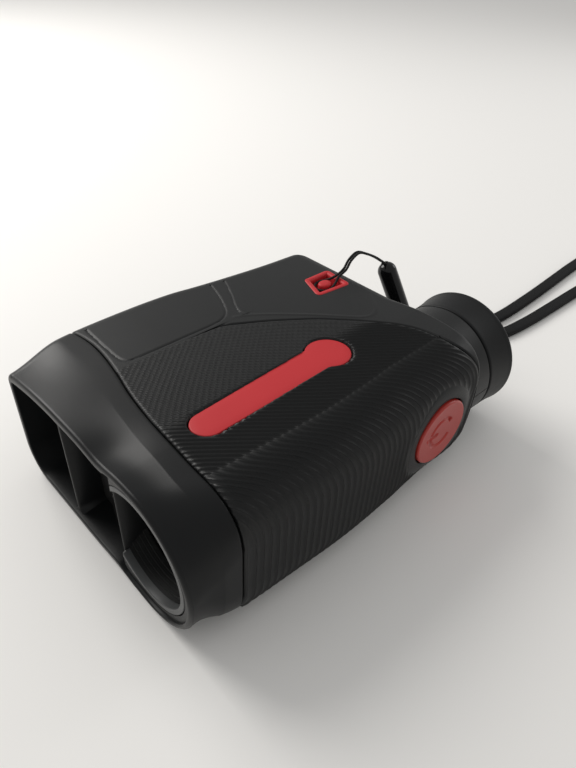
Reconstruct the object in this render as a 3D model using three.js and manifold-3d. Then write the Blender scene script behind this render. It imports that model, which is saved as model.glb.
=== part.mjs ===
// Laser rangefinder of the 6x21 monocular class, lying on its left side.
// +X is the top of the device in use (power button), -X its underside (battery door).
// -Y is the front with its three apertures, +Y the eyepiece.
// +Z points up, away from the surface it lies on.
import * as THREE from "three";
import { mergeVertices } from "three/addons/utils/BufferGeometryUtils.js";
import Module from "manifold-3d";

const wasm = await Module();
wasm.setup();

// ---------- driving dimensions, mm ----------
const gap = 0.3; // running and seating clearance between two pieces
const thick = 37.1; // body thickness, side to side, at the eyepiece axis
const midZ = thick / 2; // parting plane of the two shells
const axisX = 20.5; // eyepiece and objective axis above the centre of the box
const topSlope = 0.038; // the right side falls away towards the underside
const slopeFrom = 15; // X where that fall begins
const sideX = [slopeFrom, 6, -14]; // points of each section along its two long sides
const frontY = -58; // front lip
const rearY = 39.3; // rear face of the body
const cupY = 58; // rim of the eyecup
const rearRound = 3.5; // rounding of the rear face
const lowRound = 4; // corner radius along the underside
const highRound = 9.5; // corner radius along the top of the body
const gripWall = 1.5; // rubber armour
const shellWall = 2; // hard shell under it
const objectiveR = midZ - 0.1; // round end of the front lip
const waistX = 8; // the lip's waist, beside the objective
const waistDeep = 1.1;
const waistWide = 6;
const lowEndFrom = -10; // the lip grows thinner from here to its low end
const lowEndLong = 26;
const lowEndDrop = 4;
const lipCorner = 6; // corner radius of the lip's low end
const seamHigh = -44.6; // bezel joint on the top side
const seamLow = -38; // bezel joint on the underside
const lipWall = 1.7; // thickness of the front lip
const septumX = [-11, 10.7]; // the two walls between the apertures
const septum = 1; // their thickness
const ringR = 15.4; // objective ring
const ringWall = 1.5;
const ringSet = 0.7; // how far the ring lies behind the lip
const barrelR = 13.3; // objective barrel
const lensR = 10.5; // 21 mm objective lens
const maskY = -50; // black mask behind the apertures
const maskThick = 1.3;
const receiverX = -1.7;
const receiverR = 7.9;
const emitterX = -23;
const emitterR = 7.9;
const tubeWall = 1.2;
const tubeFrontY = -48.2; // front ends of the emitter and receiver tubes
const tubeRearY = -25;
const windowY = [-49.1, -46.6]; // receiver and emitter lenses, seated in the mask
const windowBulge = 0.7;
const frameY = -33; // bulkhead of the optical frame
const frameThick = 2.4;
const neckR = 17; // neck of the eyepiece
const neckY = 47.4; // where the eyecup begins
const spigotR = 14.5; // spigot that the diopter ring turns on
const spigotY = 53.2;
const boreR = 12.9; // bore for the ocular barrel
const sleeveWall = 1; // wall around that bore inside the shells
const ocularR = 12.6;
const ocularY = [27, 52.4];
const ocularLensR = 10.2;
const cupRimR = 17.85; // flared rim of the eyecup
const dishR = 12.4; // inner edge of the eyecup
const buttonY = 21.4; // power button, on the top side
const buttonR = 9.6;
const buttonTop = 40.2;
const buttonThick = 3.6;
const collarR = 12.2; // smooth land around the button
const modeAt = [-6, 27]; // mode button, on the left side
const modeR = 4;
const modeTravelRoom = 0.4; // how far it lies below the side
const eyeAt = [-13.5, 30]; // lanyard eye, on the right side
const eyeSize = 11.4;
const eyeTurn = 0.12;
const eyeDeep = 4.6;
const badgeWidth = 8.2;
const badgeHeadR = 6;
const badgeTail = [14.2, -34.3];
const badgeHead = [12.7, 4.8];
const badgeThick = 1.2;
const batteryR = 7.8; // CR2 cell
const batteryLong = 26.8;
const batteryMidY = 10;
const batteryX = -25.2;
const doorY = [-5.8, 24.8];
const doorZ = 9; // half width of the battery door
const doorWall = 1.8;
const pinR = 0.45; // hinge pin of the door
const knuckleR = 1.15;
const boardThick = 1.2;
const boardZ = midZ + 10.2;
const modeBoardZ = 6.4;
const modePostAt = [[-13.8, 27], [1.8, 27]];
const holderX = [8.6, 32.4];
const holderWall = 1.6;
const holderY = [-30.3, 24.4];
const holderZ = [7, 30];
const prismSide = 15;
const screwAt = [[-29.6, 31.4], [2.6, 34], [-33.2, -15.5], [4.4, -17]];
const bossR = 2.5;
const cordR = 0.38; // thin lanyard cord
const strapR = 1.5; // wrist strap, as a round of the same section area
const capsuleR = 3.2;
const cordBoreR = 1.15; // mouth of the capsule, for the cord's two ends

// ---------- body outline ----------
// X of the underside and of the top along the device, at stations of Y
const lowEdge = [[-58, -36.2], [-47, -38.8], [-38, -40.1], [-20, -40.7], [-8, -40.2], [0, -38.9],
  [12, -37.3], [25, -36], [40, -35.2]];
const highEdge = [[-58, 39.03], [-50, 39.2], [-44, 39.3], [-36, 39.7], [-14, 40.7], [4, 40.2],
  [12, 39.6], [30, 39.4], [38, 38.2], [40, 38]];

// Smooth value of a station table at y.
function along(table, y) {
  const last = table.length - 1;
  const i = Math.max(0, Math.min(last - 1, table.findIndex(([at]) => at > y) - 1));
  const k = y >= table[last][0] ? last - 1 : i;
  const [y0, v0] = table[k];
  const [y1, v1] = table[k + 1];
  const slope = (n) => {
    const a = table[Math.max(0, n - 1)];
    const b = table[Math.min(last, n + 1)];
    return (b[1] - a[1]) / (b[0] - a[0]);
  };
  const t = Math.max(0, Math.min(1, (y - y0) / (y1 - y0)));
  const span = y1 - y0;
  return v0 * (1 + 2 * t) * (1 - t) ** 2 + v1 * t * t * (3 - 2 * t)
    + span * (slope(k) * t * (1 - t) ** 2 - slope(k + 1) * t * t * (1 - t));
}

const smooth = (t) => t * t * (3 - 2 * t);
const ramp = (a, b, v) => smooth(Math.max(0, Math.min(1, (v - a) / (b - a))));
const topZ = (x) => thick - topSlope * Math.max(0, slopeFrom - x);

// How much the front lip lies inside the body section.
const waist = (x) => waistDeep * Math.exp(-(((x - waistX) / waistWide) ** 2));
const lowEnd = (x) => lowEndDrop * Math.max(0, (lowEndFrom - x) / lowEndLong) ** 2;
const frontAt = (y) => 1 - ramp(-56.5, -47, y);

// One closed ring of the outer form at station y, drawn in by inset.
// front is 1 at the lip and 0 in the body.
function ringAt(y, inset, front) {
  const arc = 4;
  const low = along(lowEdge, y) + inset;
  const high = along(highEdge, y) - inset;
  const rHigh = THREE.MathUtils.lerp(highRound, objectiveR, front) - inset;
  const rLow = Math.max(0.6, THREE.MathUtils.lerp(lowRound, lipCorner, front) - inset);
  const top = (x) => topZ(x) - inset - front * (waist(x) + lowEnd(x));
  const bottom = (x) => inset + front * 0.6 * waist(x);
  const ring = [];
  const corner = (cx, cz, r, from) => {
    for (let i = 0; i <= arc; i++) {
      const a = from + (Math.PI / 2) * (i / arc);
      ring.push([cx + r * Math.cos(a), cz + r * Math.sin(a)]);
    }
  };
  const side = (stations, z) => {
    for (const x of stations) ring.push([x, z(x)]);
  };
  corner(high - rHigh, top(high - rHigh) - rHigh, rHigh, 0);
  side(sideX, top);
  corner(low + rLow, top(low + rLow) - rLow, rLow, Math.PI / 2);
  corner(low + rLow, bottom(low + rLow) + rLow, rLow, Math.PI);
  side(sideX.toReversed(), bottom);
  corner(high - rHigh, bottom(high - rHigh) + rHigh, rHigh, Math.PI * 1.5);
  return ring.map(([x, z]) => new THREE.Vector3(x, y, z));
}

// ---------- solids ----------
function solid(geometry) {
  const bare = geometry.clone();
  bare.deleteAttribute("normal");
  bare.deleteAttribute("uv");
  const merged = mergeVertices(bare, 1e-4);
  return new wasm.Manifold(new wasm.Mesh({
    numProp: 3,
    vertProperties: merged.attributes.position.array,
    triVerts: new Uint32Array(merged.index.array),
  }));
}

function geometryOf(body) {
  const mesh = body.getMesh();
  const geometry = new THREE.BufferGeometry();
  geometry.setAttribute("position", new THREE.BufferAttribute(mesh.vertProperties, mesh.numProp));
  geometry.setIndex(new THREE.BufferAttribute(mesh.triVerts, 1));
  geometry.computeVertexNormals();
  return geometry;
}

// A solid through closed rings of equal point count, ordered along +Y.
function loft(rings) {
  const count = rings[0].length;
  const points = rings.flat();
  const faces = [];
  for (let r = 0; r + 1 < rings.length; r++) {
    for (let i = 0; i < count; i++) {
      const a = r * count + i;
      const b = r * count + ((i + 1) % count);
      faces.push(a, a + count, b, b, a + count, b + count);
    }
  }
  const flat = (ring) => ring.map((p) => new THREE.Vector2(p.x, p.z));
  const end = (rings.length - 1) * count;
  for (const [a, b, c] of THREE.ShapeUtils.triangulateShape(flat(rings[0]), [])) faces.push(a, b, c);
  for (const [a, b, c] of THREE.ShapeUtils.triangulateShape(flat(rings.at(-1)), [])) {
    faces.push(end + a, end + c, end + b);
  }
  const geometry = new THREE.BufferGeometry();
  const flatPoints = points.flatMap((p) => [p.x, p.y, p.z]);
  geometry.setAttribute("position", new THREE.Float32BufferAttribute(flatPoints, 3));
  geometry.setIndex(faces);
  return solid(geometry);
}

const box = (x, y, z) => {
  const geometry = new THREE.BoxGeometry(x[1] - x[0], y[1] - y[0], z[1] - z[0]);
  return solid(geometry.translate((x[0] + x[1]) / 2, (y[0] + y[1]) / 2, (z[0] + z[1]) / 2));
};

// Turned piece about the Y axis through (x, z); profile is [radius, y], closed.
function turned(profile, x = axisX, z = midZ, sides = 28) {
  const loop = [...profile, profile[0]].map(([r, y]) => new THREE.Vector2(Math.max(r, 0), y));
  return solid(new THREE.LatheGeometry(loop, sides).translate(x, 0, z));
}
const rod = (r, y, x = axisX, z = midZ, sides = 28) =>
  turned([[0, y[0]], [r, y[0]], [r, y[1]], [0, y[1]]], x, z, sides);
const pipe = (r, wall, y, x = axisX, z = midZ) =>
  turned([[r - wall, y[0]], [r, y[0]], [r, y[1]], [r - wall, y[1]]], x, z);

const rodX = (r, x, y, z, sides = 32) => {
  const geometry = new THREE.CylinderGeometry(r, r, x[1] - x[0], sides).rotateZ(Math.PI / 2);
  return solid(geometry.translate((x[0] + x[1]) / 2, y, z));
};
const rodZ = (r, z, x, y, sides = 24) => {
  const geometry = new THREE.CylinderGeometry(r, r, z[1] - z[0], sides).rotateX(Math.PI / 2);
  return solid(geometry.translate(x, y, (z[0] + z[1]) / 2));
};

// A plan outline in X and Y, raised along Z.
function plan(points, z) {
  const drawn = points instanceof THREE.Shape;
  const shape = drawn ? points : new THREE.Shape(points.map((p) => new THREE.Vector2(...p)));
  const geometry = new THREE.ExtrudeGeometry(shape, { depth: z[1] - z[0], bevelEnabled: false });
  return solid(geometry.translate(0, 0, z[0]));
}
const union = (list) => list.reduce((a, b) => a.add(b));

const pinAt = [along(lowEdge, doorY[0] + 0.9) + 1, doorY[0] + 0.9];

// ---------- the outer form ----------
function bodyForm(inset) {
  const stations = [-49, -38, -26, -14, -2, 8, 20, 33];
  const rings = stations.map((y) => ringAt(y, inset, 0));
  const steps = 3;
  for (let i = 0; i <= steps; i++) {
    const a = (Math.PI / 2) * (i / steps);
    const y = rearY - rearRound + (rearRound - inset) * Math.sin(a);
    const drawn = (rearRound - Math.min(inset, rearRound - 0.6)) * (1 - Math.cos(a));
    rings.push(ringAt(y, inset + drawn, 0));
  }
  return loft(rings);
}

const neckForm = (inset) => turned([
  [0, 30], [neckR + 1.4 - inset, 30], [neckR + 1.4 - inset, 37], [neckR + 0.5 - inset, 39.6],
  [neckR - inset, 42], [neckR - inset, neckY], [0, neckY],
]);

function bezelForm() {
  const stations = [frontY, -57, -55, -53, -50, -47, -44, -41, -37];
  return loft(stations.map((y) => ringAt(y, y === frontY ? 0.5 : 0, frontAt(y))));
}

// Everything in front of the bezel joint; shift moves the joint along Y.
function seamSide(shift) {
  const points = [[-42, -70], [42, -70]];
  for (let i = 0; i <= 20; i++) {
    const x = 42 - 84 * (i / 20);
    points.push([x, seamLow + (seamHigh - seamLow) * ramp(-30, 24, x) + shift]);
  }
  return plan(points, [-5, thick + 5]);
}

// Plan region of the rubber grip, from the bezel joint to the arc before the neck.
function gripRegion(shift) {
  const edge = new THREE.SplineCurve([[-15, -38], [-15.2, -14], [-12.2, -3], [-4, 9], [5, 19], [15, 27.4],
    [25, 32.4], [34, 36.6], [39, 40.5]].map((p) => new THREE.Vector2(...p)));
  const bend = edge.getPoints(18).map((p) => [p.x + shift, p.y - shift]);
  return plan([[60, 42 - shift], [60, -60], [-15 + shift, -60], ...bend], [-5, thick + 5]);
}

// ---------- materials ----------
const finish = (color, roughness, metalness = 0) =>
  new THREE.MeshStandardMaterial({ color, roughness, metalness });
const paint = {
  shell: () => finish(0x2b2c2d, 0.55),
  bezel: () => finish(0x28292b, 0.4),
  rubber: () => finish(0x151617, 0.75),
  red: () => finish(0xc0303a, 0.5),
  inner: () => finish(0x1a1a1b, 0.7),
  glass: () => finish(0x223044, 0.05),
  metal: () => finish(0xb9bcc0, 0.3, 1),
  brass: () => finish(0xc9a24d, 0.35, 1),
  board: () => finish(0x1f5a33, 0.6),
  cord: () => finish(0x141414, 0.9),
};

const device = new THREE.Group();
function piece(name, body, material, parent = device) {
  const mesh = new THREE.Mesh(geometryOf(body), material);
  mesh.name = name;
  parent.add(mesh);
  return mesh;
}

// ---------- housing ----------
const outer = union([bodyForm(0), neckForm(0)]);
const underGrip = union([bodyForm(gripWall + gap), neckForm(0)]);
const cavity = bodyForm(gripWall + gap + shellWall);
const buttonLand = (r) => rodX(r, [30, 50], buttonY, midZ, 48);
const badgeShape = (grow) => {
  const [tx, ty] = badgeTail;
  const [hx, hy] = badgeHead;
  const lean = Math.atan2(hx - tx, hy - ty);
  const half = badgeWidth / 2 + grow;
  const headR = badgeHeadR + grow;
  const spread = Math.asin(half / headR);
  const at = (cx, cy, r, a) => [cx + r * Math.sin(a), cy + r * Math.cos(a)];
  const points = [];
  for (let i = 0; i <= 20; i++) {
    points.push(at(hx, hy, headR, lean - Math.PI + spread + 2 * (Math.PI - spread) * (i / 20)));
  }
  for (let i = 0; i <= 10; i++) {
    points.push(at(tx, ty, half, lean + Math.PI / 2 + Math.PI * (i / 10)));
  }
  return points.reverse();
};
const roundedSquare = (size, r, [cx, cy], turn) => {
  const h = size / 2;
  const shape = new THREE.Shape();
  const corners = [[h - r, h - r, 0], [r - h, h - r, 1], [r - h, r - h, 2], [h - r, r - h, 3]];
  const points = [];
  for (const [x, y, q] of corners) {
    for (let i = 0; i <= 4; i++) {
      const a = (Math.PI / 2) * (q + i / 4);
      const point = new THREE.Vector2(x + r * Math.cos(a), y + r * Math.sin(a));
      points.push(point.rotateAround(new THREE.Vector2(), turn).add(new THREE.Vector2(cx, cy)));
    }
  }
  return shape.setFromPoints(points);
};

const eyeTopZ = topZ(eyeAt[0]) + 0.1;
const eyeShape = roundedSquare(eyeSize + 2 * gap, 1.8, eyeAt, eyeTurn);
const eyePocket = plan(eyeShape, [eyeTopZ - eyeDeep - gap, thick + 2]);
const doorBox = (grow) => box([-60, batteryX - batteryR + 1], [doorY[0] - grow, doorY[1] + grow],
  [midZ - doorZ - grow, midZ + doorZ + grow]);
const spigot = rod(spigotR, [neckY - 1, spigotY]);
const neckBore = rod(boreR, [20, spigotY + 1]);
const collar = outer.intersect(buttonLand(collarR - gap));
const shellSkin = union([outer.subtract(gripRegion(0)), underGrip, collar]);
const hollow = cavity.subtract(rod(boreR + sleeveWall, [26, 50]));
const buttonHole = rodX(buttonR + gap, [34, 50], buttonY, midZ, 48);
const modeHole = rodZ(modeR + gap, [-5, 9], ...modeAt, 32);
const openings = union([neckBore, seamSide(gap / 2), buttonHole, eyePocket, doorBox(gap), modeHole]);
const shells = shellSkin.add(spigot).subtract(hollow).subtract(openings);

const upperHalf = box([-60, 60], [-70, 70], [midZ + gap / 2, 60]);
const lowerHalf = box([-60, 60], [-70, 70], [-20, midZ - gap / 2]);
const skinWall = gripWall + gap + shellWall; // from the outer form to the inner face of a shell
const root = 0.4; // how far a post or boss reaches into the wall it stands on
const innerHigh = (x) => topZ(x) - skinWall;
const postAt = [[-14, -18.5], [5.2, -10.5], [-14, 20], [5.2, 22]];
const standing = (places, r, low, high, sides) =>
  union(places.map(([x, y]) => rodZ(r, [low, typeof high === "function" ? high(x) : high], x, y, sides)));
const posts = standing(postAt, 1.7, boardZ + boardThick + gap, (x) => innerHigh(x) + root);
const postHoles = standing(postAt, 0.8, boardZ, (x) => innerHigh(x) - 0.3, 12);
const modePosts = standing(modePostAt, 1.3, skinWall - root, modeBoardZ - gap);
const pinHole = rodZ(pinR + gap, [midZ - doorZ - 2.2, midZ + doorZ + 2.2], ...pinAt, 20);
const rightBosses = standing(screwAt, bossR, midZ + gap / 2, (x) => innerHigh(x) + root);
const leftBosses = standing(screwAt, bossR, skinWall - root, midZ - gap / 2);
const pilots = standing(screwAt, 0.9, midZ - 1, midZ + 9, 16);
const screwHoles = standing(screwAt, 1.3, -1, midZ + 1, 16);
const screwWells = standing(screwAt, 2.1, -1, 5.2, 20);
const right = shells.intersect(upperHalf).add(rightBosses.add(posts)).subtract(pilots.add(postHoles));
const left = shells.intersect(lowerHalf).add(leftBosses.add(modePosts)).subtract(screwHoles.add(screwWells));
piece("right_shell", right.subtract(pinHole), paint.shell());
piece("left_shell", left.subtract(pinHole), paint.shell());
screwAt.forEach(([x, y], i) => {
  const screw = rodZ(1.9, [3.4, 5], x, y, 16).add(rodZ(0.7, [4.9, midZ + 7.5], x, y, 12));
  piece("housing_screw_" + (i + 1), screw, paint.metal());
});

const badgePocket = (z) => plan(badgeShape(gap), z);
let grip = bodyForm(0).subtract(bodyForm(gripWall)).intersect(gripRegion(gap)).subtract(seamSide(gap / 2));
const badgePockets = badgePocket([thick - 4, thick + 4]).add(badgePocket([-4, 4]));
grip = grip.subtract(buttonLand(collarR)).subtract(badgePockets);
piece("rubber_grip", grip.subtract(neckForm(-gap)), paint.rubber());
const badgeTopZ = topZ(badgeHead[0] - badgeHeadR) - 0.1;
piece("right_badge", plan(badgeShape(0), [badgeTopZ - badgeThick, badgeTopZ]), paint.red());
piece("left_badge", plan(badgeShape(0), [0.15, 0.15 + badgeThick]), paint.red());

// ---------- front bezel ----------
const chamber = (x, inset) => {
  const shape = new THREE.Shape(ringAt(frontY, inset, 1).map((p) => new THREE.Vector2(p.x, p.z)));
  const geometry = new THREE.ExtrudeGeometry(shape, { depth: 40, bevelEnabled: false });
  const through = solid(geometry.rotateX(Math.PI / 2).translate(0, -30, 0));
  return through.intersect(box(x, [-80, -20], [-5, 60]));
};
const septa = septumX.map((x) => [x - septum / 2, x + septum / 2]);
let bezel = bezelForm().intersect(seamSide(-gap / 2));
bezel = bezel.subtract(chamber([-60, septa[0][0]], lipWall));
bezel = bezel.subtract(chamber([septa[0][1], septa[1][0]], lipWall));
const objectiveSide = box([septa[1][1], 60], [-80, 0], [-5, 60]);
const objectiveBore = rod(ringR + gap, [-70, -30]).add(rod(objectiveR - 1.1, [-70, frontY + ringSet]));
bezel = bezel.subtract(objectiveBore.intersect(objectiveSide));
const roomWall = lipWall + 0.6;
const roomY = [maskY - gap, maskY + maskThick, -46, -42, -36];
bezel = bezel.subtract(loft(roomY.map((y) => ringAt(y, roomWall, frontAt(y)))));
piece("front_bezel", bezel, paint.bezel());
const ringCut = box([septa[1][1] + gap, 60], [-80, 0], [-5, 60]);
const ring = pipe(ringR, ringWall, [frontY + ringSet, maskY]);
piece("objective_ring", ring.intersect(ringCut), paint.bezel());

// ---------- optics ----------
const frameInset = skinWall + gap;
let frame = loft([ringAt(frameY, frameInset, 0), ringAt(frameY + frameThick, frameInset, 0)]);
const seats = [[barrelR, axisX], [receiverR, receiverX], [emitterR, emitterX]];
for (const [r, x] of seats) frame = frame.subtract(rod(r + gap, [-60, 0], x));
piece("optical_frame", frame, paint.inner());

let mask = loft([maskY, maskY + maskThick].map((y) => ringAt(y, roomWall + gap, frontAt(y))));
mask = mask.subtract(rod(barrelR + gap, [-60, -40]));
for (const x of [receiverX, emitterX]) mask = mask.subtract(rod(receiverR - tubeWall, [-60, -40], x));
piece("front_mask", mask, paint.inner());

const barrelY = [-49.6, -31];
const barrel = pipe(barrelR, 2, barrelY).add(pipe(barrelR, 3.6, [-44.6, -43.4]));
piece("objective_barrel", barrel, paint.inner());
const lens = (r, y, bulge, x = axisX) => {
  const profile = [];
  for (let i = 0; i <= 3; i++) profile.push([r * (i / 3), y[0] - bulge * (1 - (i / 3) ** 2)]);
  for (let i = 3; i >= 0; i--) profile.push([r * (i / 3), y[1] + bulge * 0.6 * (1 - (i / 3) ** 2)]);
  return turned(profile, x, midZ, 24);
};
piece("objective_lens", lens(lensR, [-47.4, -44.9], 1), paint.glass());
piece("objective_retainer", pipe(barrelR - 2 - gap, 1.4, [-49.2, -47.7]), paint.inner());

const seatY = [windowY[1] + gap, windowY[1] + gap + 1.2];
const tube = (r, x) => pipe(r, tubeWall, [tubeFrontY, tubeRearY], x).add(pipe(r, tubeWall + 1.2, seatY, x));
piece("receiver_tube", tube(receiverR, receiverX), paint.inner());
piece("receiver_lens", lens(receiverR - tubeWall - gap, windowY, windowBulge, receiverX), paint.glass());
piece("receiver_board", rod(receiverR - tubeWall - gap, [-28, -26.6], receiverX, midZ, 32)
  .add(rod(3, [-30.4, -27.9], receiverX, midZ, 20)), paint.board());
piece("emitter_tube", tube(emitterR, emitterX), paint.inner());
piece("emitter_lens", lens(emitterR - tubeWall - gap, windowY, windowBulge, emitterX), paint.glass());
piece("laser_diode", rod(emitterR - tubeWall - gap, [-28, -26.6], emitterX, midZ, 32)
  .add(rod(2.8, [-31.5, -27.9], emitterX, midZ, 20)), paint.brass());

// Channel that carries the prisms, the display glass and the switch, fixed to the back of the bulkhead.
const holderIn = [holderX[0] + holderWall, holderX[1] - holderWall];
let holder = box(holderX, holderY, holderZ);
const channelY = [holderY[0] + holderWall, holderY[1] + 1];
holder = holder.subtract(box(holderIn, channelY, [holderZ[0] + holderWall, 60]));
holder = holder.subtract(rod(8.5, [-40, 0]));
piece("prism_holder", holder, paint.inner());
const prismFloor = holderZ[0] + holderWall + gap;
const prismAt = (y, flip) => {
  const [a, b] = [axisX - prismSide / 2, axisX + prismSide / 2];
  const shoulder = y + prismSide * 0.55;
  const points = [[a, y], [b, y], [b, shoulder], [axisX, y + prismSide], [a, shoulder]];
  const turnedPoints = flip ? points.map(([x, py]) => [x, 2 * y + prismSide - py]).reverse() : points;
  return plan(turnedPoints, [prismFloor, prismFloor + prismSide + 3]);
};
piece("roof_prism", prismAt(-27.5, true), paint.glass());
piece("compensating_prism", prismAt(-11.5, false), paint.glass());
const displayX = [holderIn[0] + gap, holderIn[1] - gap];
piece("display_glass", box(displayX, [10.5, 12], [prismFloor, prismFloor + 19]), paint.glass());

// ---------- eyepiece ----------
const lensLedges = pipe(ocularR, 3.2, [46.4, 47.6]).add(pipe(ocularR, 3.2, [31.4, 32.6]));
piece("ocular_barrel", pipe(ocularR, 1.8, ocularY).add(lensLedges), paint.inner());
piece("eye_lens", lens(ocularLensR, [48.7, 50.4], 0.7), paint.glass());
piece("field_lens", lens(ocularLensR, [28.4, 30.5], 0.9), paint.glass());
piece("ocular_retainer", pipe(ocularR - 1.8 - gap, 1.2, [51.2, 52.2]), paint.inner());
const ringOut = 16;
const ringProfile = [[spigotR + gap, neckY + gap], [ringOut, neckY + gap], [ringOut, 55], [ringOut - 2.4, 55],
  [ringOut - 2.4, 53.9], [spigotR + gap, 53.9]];
piece("diopter_ring", turned(ringProfile), paint.inner());
const cupProfile = [[ringOut + gap, neckY + gap], [neckR, neckY + gap], [neckR + 0.15, 50], [cupRimR - 0.2, 56.4],
  [cupRimR, 57.4], [cupRimR - 0.3, cupY], [cupRimR - 1.2, cupY], [15.6, 56.6], [dishR + 1, 56.2], [dishR, 56],
  [dishR, 55.4], [ringOut + gap, 55.4]];
piece("eyecup", turned(cupProfile, axisX, midZ, 36), paint.rubber());

// ---------- controls ----------
const buttonBase = buttonTop - buttonThick;
const button = rodX(buttonR, [buttonBase, buttonTop - 0.6], buttonY, midZ, 48)
  .add(rodX(buttonR - 0.6, [buttonTop - 0.7, buttonTop], buttonY, midZ, 48));
const plunger = rodX(2.2, [buttonBase - 0.5, buttonBase + 0.1], buttonY, midZ, 20);
piece("power_button", button.add(plunger), paint.red());
const innerTop = along(highEdge, buttonY) - skinWall;
const seal = rodX(buttonR + 0.9, [innerTop - 1.3, innerTop - 0.6], buttonY, midZ);
piece("button_seal", seal.subtract(rodX(buttonR - 1.6, [20, 50], buttonY, midZ)), paint.rubber());
const switchX = [holderX[1] + gap, holderX[1] + gap + 2];
piece("power_switch", box(switchX, [18.4, 24.2], [midZ - 3, midZ + 3])
  .add(rodX(1.4, [switchX[1] - 0.1, switchX[1] + 0.3], buttonY, midZ, 16)), paint.metal());

const [modeX, modeY] = modeAt;
const modeBase = 4.4;
piece("mode_button", rodZ(modeR, [modeTravelRoom, modeBase], modeX, modeY, 32)
  .add(rodZ(modeR + 1.4, [modeBase - 0.4, modeBase + 0.6], modeX, modeY, 32)), paint.rubber());

// ---------- electronics ----------
const boardX = [-16.2, 7.4];
const boardY = [-21, 28];
const chips = box([-13, -5], [-15, -3], [boardZ - 1.6, boardZ + 0.1])
  .add(box([-3, 4], [2, 9], [boardZ - 1.4, boardZ + 0.1]));
let board = box(boardX, boardY, [boardZ, boardZ + boardThick]).add(chips);
board = board.subtract(standing(postAt, 0.8, boardZ - 1, boardZ + 3, 12));
piece("main_board", board.subtract(rodZ(bossR + gap, [0, 60], ...screwAt[3])), paint.board());
postAt.forEach(([x, y], i) => {
  const head = rodZ(1.5, [boardZ - 1, boardZ - gap], x, y, 16);
  const screw = head.add(rodZ(0.5, [boardZ - 0.4, boardZ + 3], x, y, 10));
  piece("board_screw_" + (i + 1), screw, paint.metal());
});
const modeBoardX = [modePostAt[0][0] - 1.4, modePostAt[1][0] + 1.4];
const modeDome = box([modeX - 2, modeX + 2], [modeY - 2, modeY + 2], [modeBoardZ - 0.3, modeBoardZ + 0.1]);
const modeBoard = box(modeBoardX, [modeY - 3, modeY + 3], [modeBoardZ, modeBoardZ + 1]);
piece("mode_switch", modeBoard.add(modeDome), paint.board());

// ---------- battery bay ----------
const [cellFront, cellRear] = [batteryMidY - batteryLong / 2, batteryMidY + batteryLong / 2];
const terminal = rod(3, [cellRear - 1.1, cellRear], batteryX, midZ, 20);
piece("battery", rod(batteryR, [cellFront, cellRear - 1], batteryX).add(terminal), paint.metal());
const cradleY = [cellFront - 4.2, cellRear + 2.4];
const cradleR = batteryR + gap + 1.3;
const cradleEnd = 1.2; // end walls that hold the two contacts
let cradle = pipe(cradleR, 1.3, cradleY, batteryX);
cradle = cradle.add(rod(cradleR, [cradleY[0], cradleY[0] + cradleEnd], batteryX));
cradle = cradle.add(rod(cradleR, [cradleY[1] - cradleEnd, cradleY[1]], batteryX));
cradle = cradle.intersect(box([batteryX, 0], [-60, 60], [0, 60]));
for (const y of [-2, 19]) {
  const ribX = [batteryX + 2, batteryX + 5];
  cradle = cradle.add(box(ribX, [y, y + 2], [midZ + cradleR - 1, innerHigh(ribX[0]) - gap]));
  cradle = cradle.add(box(ribX, [y, y + 2], [skinWall + gap, midZ - cradleR + 1]));
}
piece("battery_cradle", cradle, paint.inner());
piece("positive_contact", rod(5, [cellRear + gap, cellRear + 0.9], batteryX, midZ, 24), paint.metal());
const wireR = 0.35;
const coilTurns = 2.5;
const coilY = [cradleY[0] + cradleEnd + gap + wireR, cellFront - gap - wireR];
const coilR = [5.5, 3.7];
class Helix extends THREE.Curve {
  getPoint(t) {
    const a = 2 * Math.PI * coilTurns * t;
    const r = THREE.MathUtils.lerp(...coilR, t);
    const y = THREE.MathUtils.lerp(...coilY, t);
    return new THREE.Vector3(batteryX + r * Math.cos(a), y, midZ + r * Math.sin(a));
  }
}
const disc = (r, sides) => new THREE.Shape(Array.from({ length: sides }, (_, i) =>
  new THREE.Vector2(r * Math.cos((2 * Math.PI * i) / sides), r * Math.sin((2 * Math.PI * i) / sides))));
const tubeAlong = (curve, r, steps, sides = 8) =>
  solid(new THREE.ExtrudeGeometry(disc(r, sides), { steps, extrudePath: curve, bevelEnabled: false }));
piece("battery_spring", tubeAlong(new Helix(), wireR, 40), paint.metal());

const doorPlate = bodyForm(0).subtract(bodyForm(doorWall)).intersect(box([-60, batteryX - batteryR],
  [doorY[0] + 0.4, doorY[1]], [midZ - doorZ, midZ + doorZ]));
const knuckle = rodZ(knuckleR, [midZ - doorZ, midZ + doorZ], ...pinAt, 24);
piece("battery_door", doorPlate.add(knuckle).subtract(pinHole), paint.shell());
piece("door_pin", rodZ(pinR, [midZ - doorZ - 1.9, midZ + doorZ + 1.9], ...pinAt, 12), paint.metal());

// ---------- lanyard ----------
let eye = plan(roundedSquare(eyeSize, 1.6, eyeAt, eyeTurn), [eyeTopZ - eyeDeep, eyeTopZ]);
eye = eye.subtract(plan(roundedSquare(eyeSize - 3.4, 1.2, eyeAt, eyeTurn), [eyeTopZ - eyeDeep + 1.2, 60]));
const post = rodZ(1.7, [eyeTopZ - eyeDeep + 1, eyeTopZ - 0.3], ...eyeAt, 24);
piece("lanyard_eye", eye.add(post), paint.red());

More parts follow.
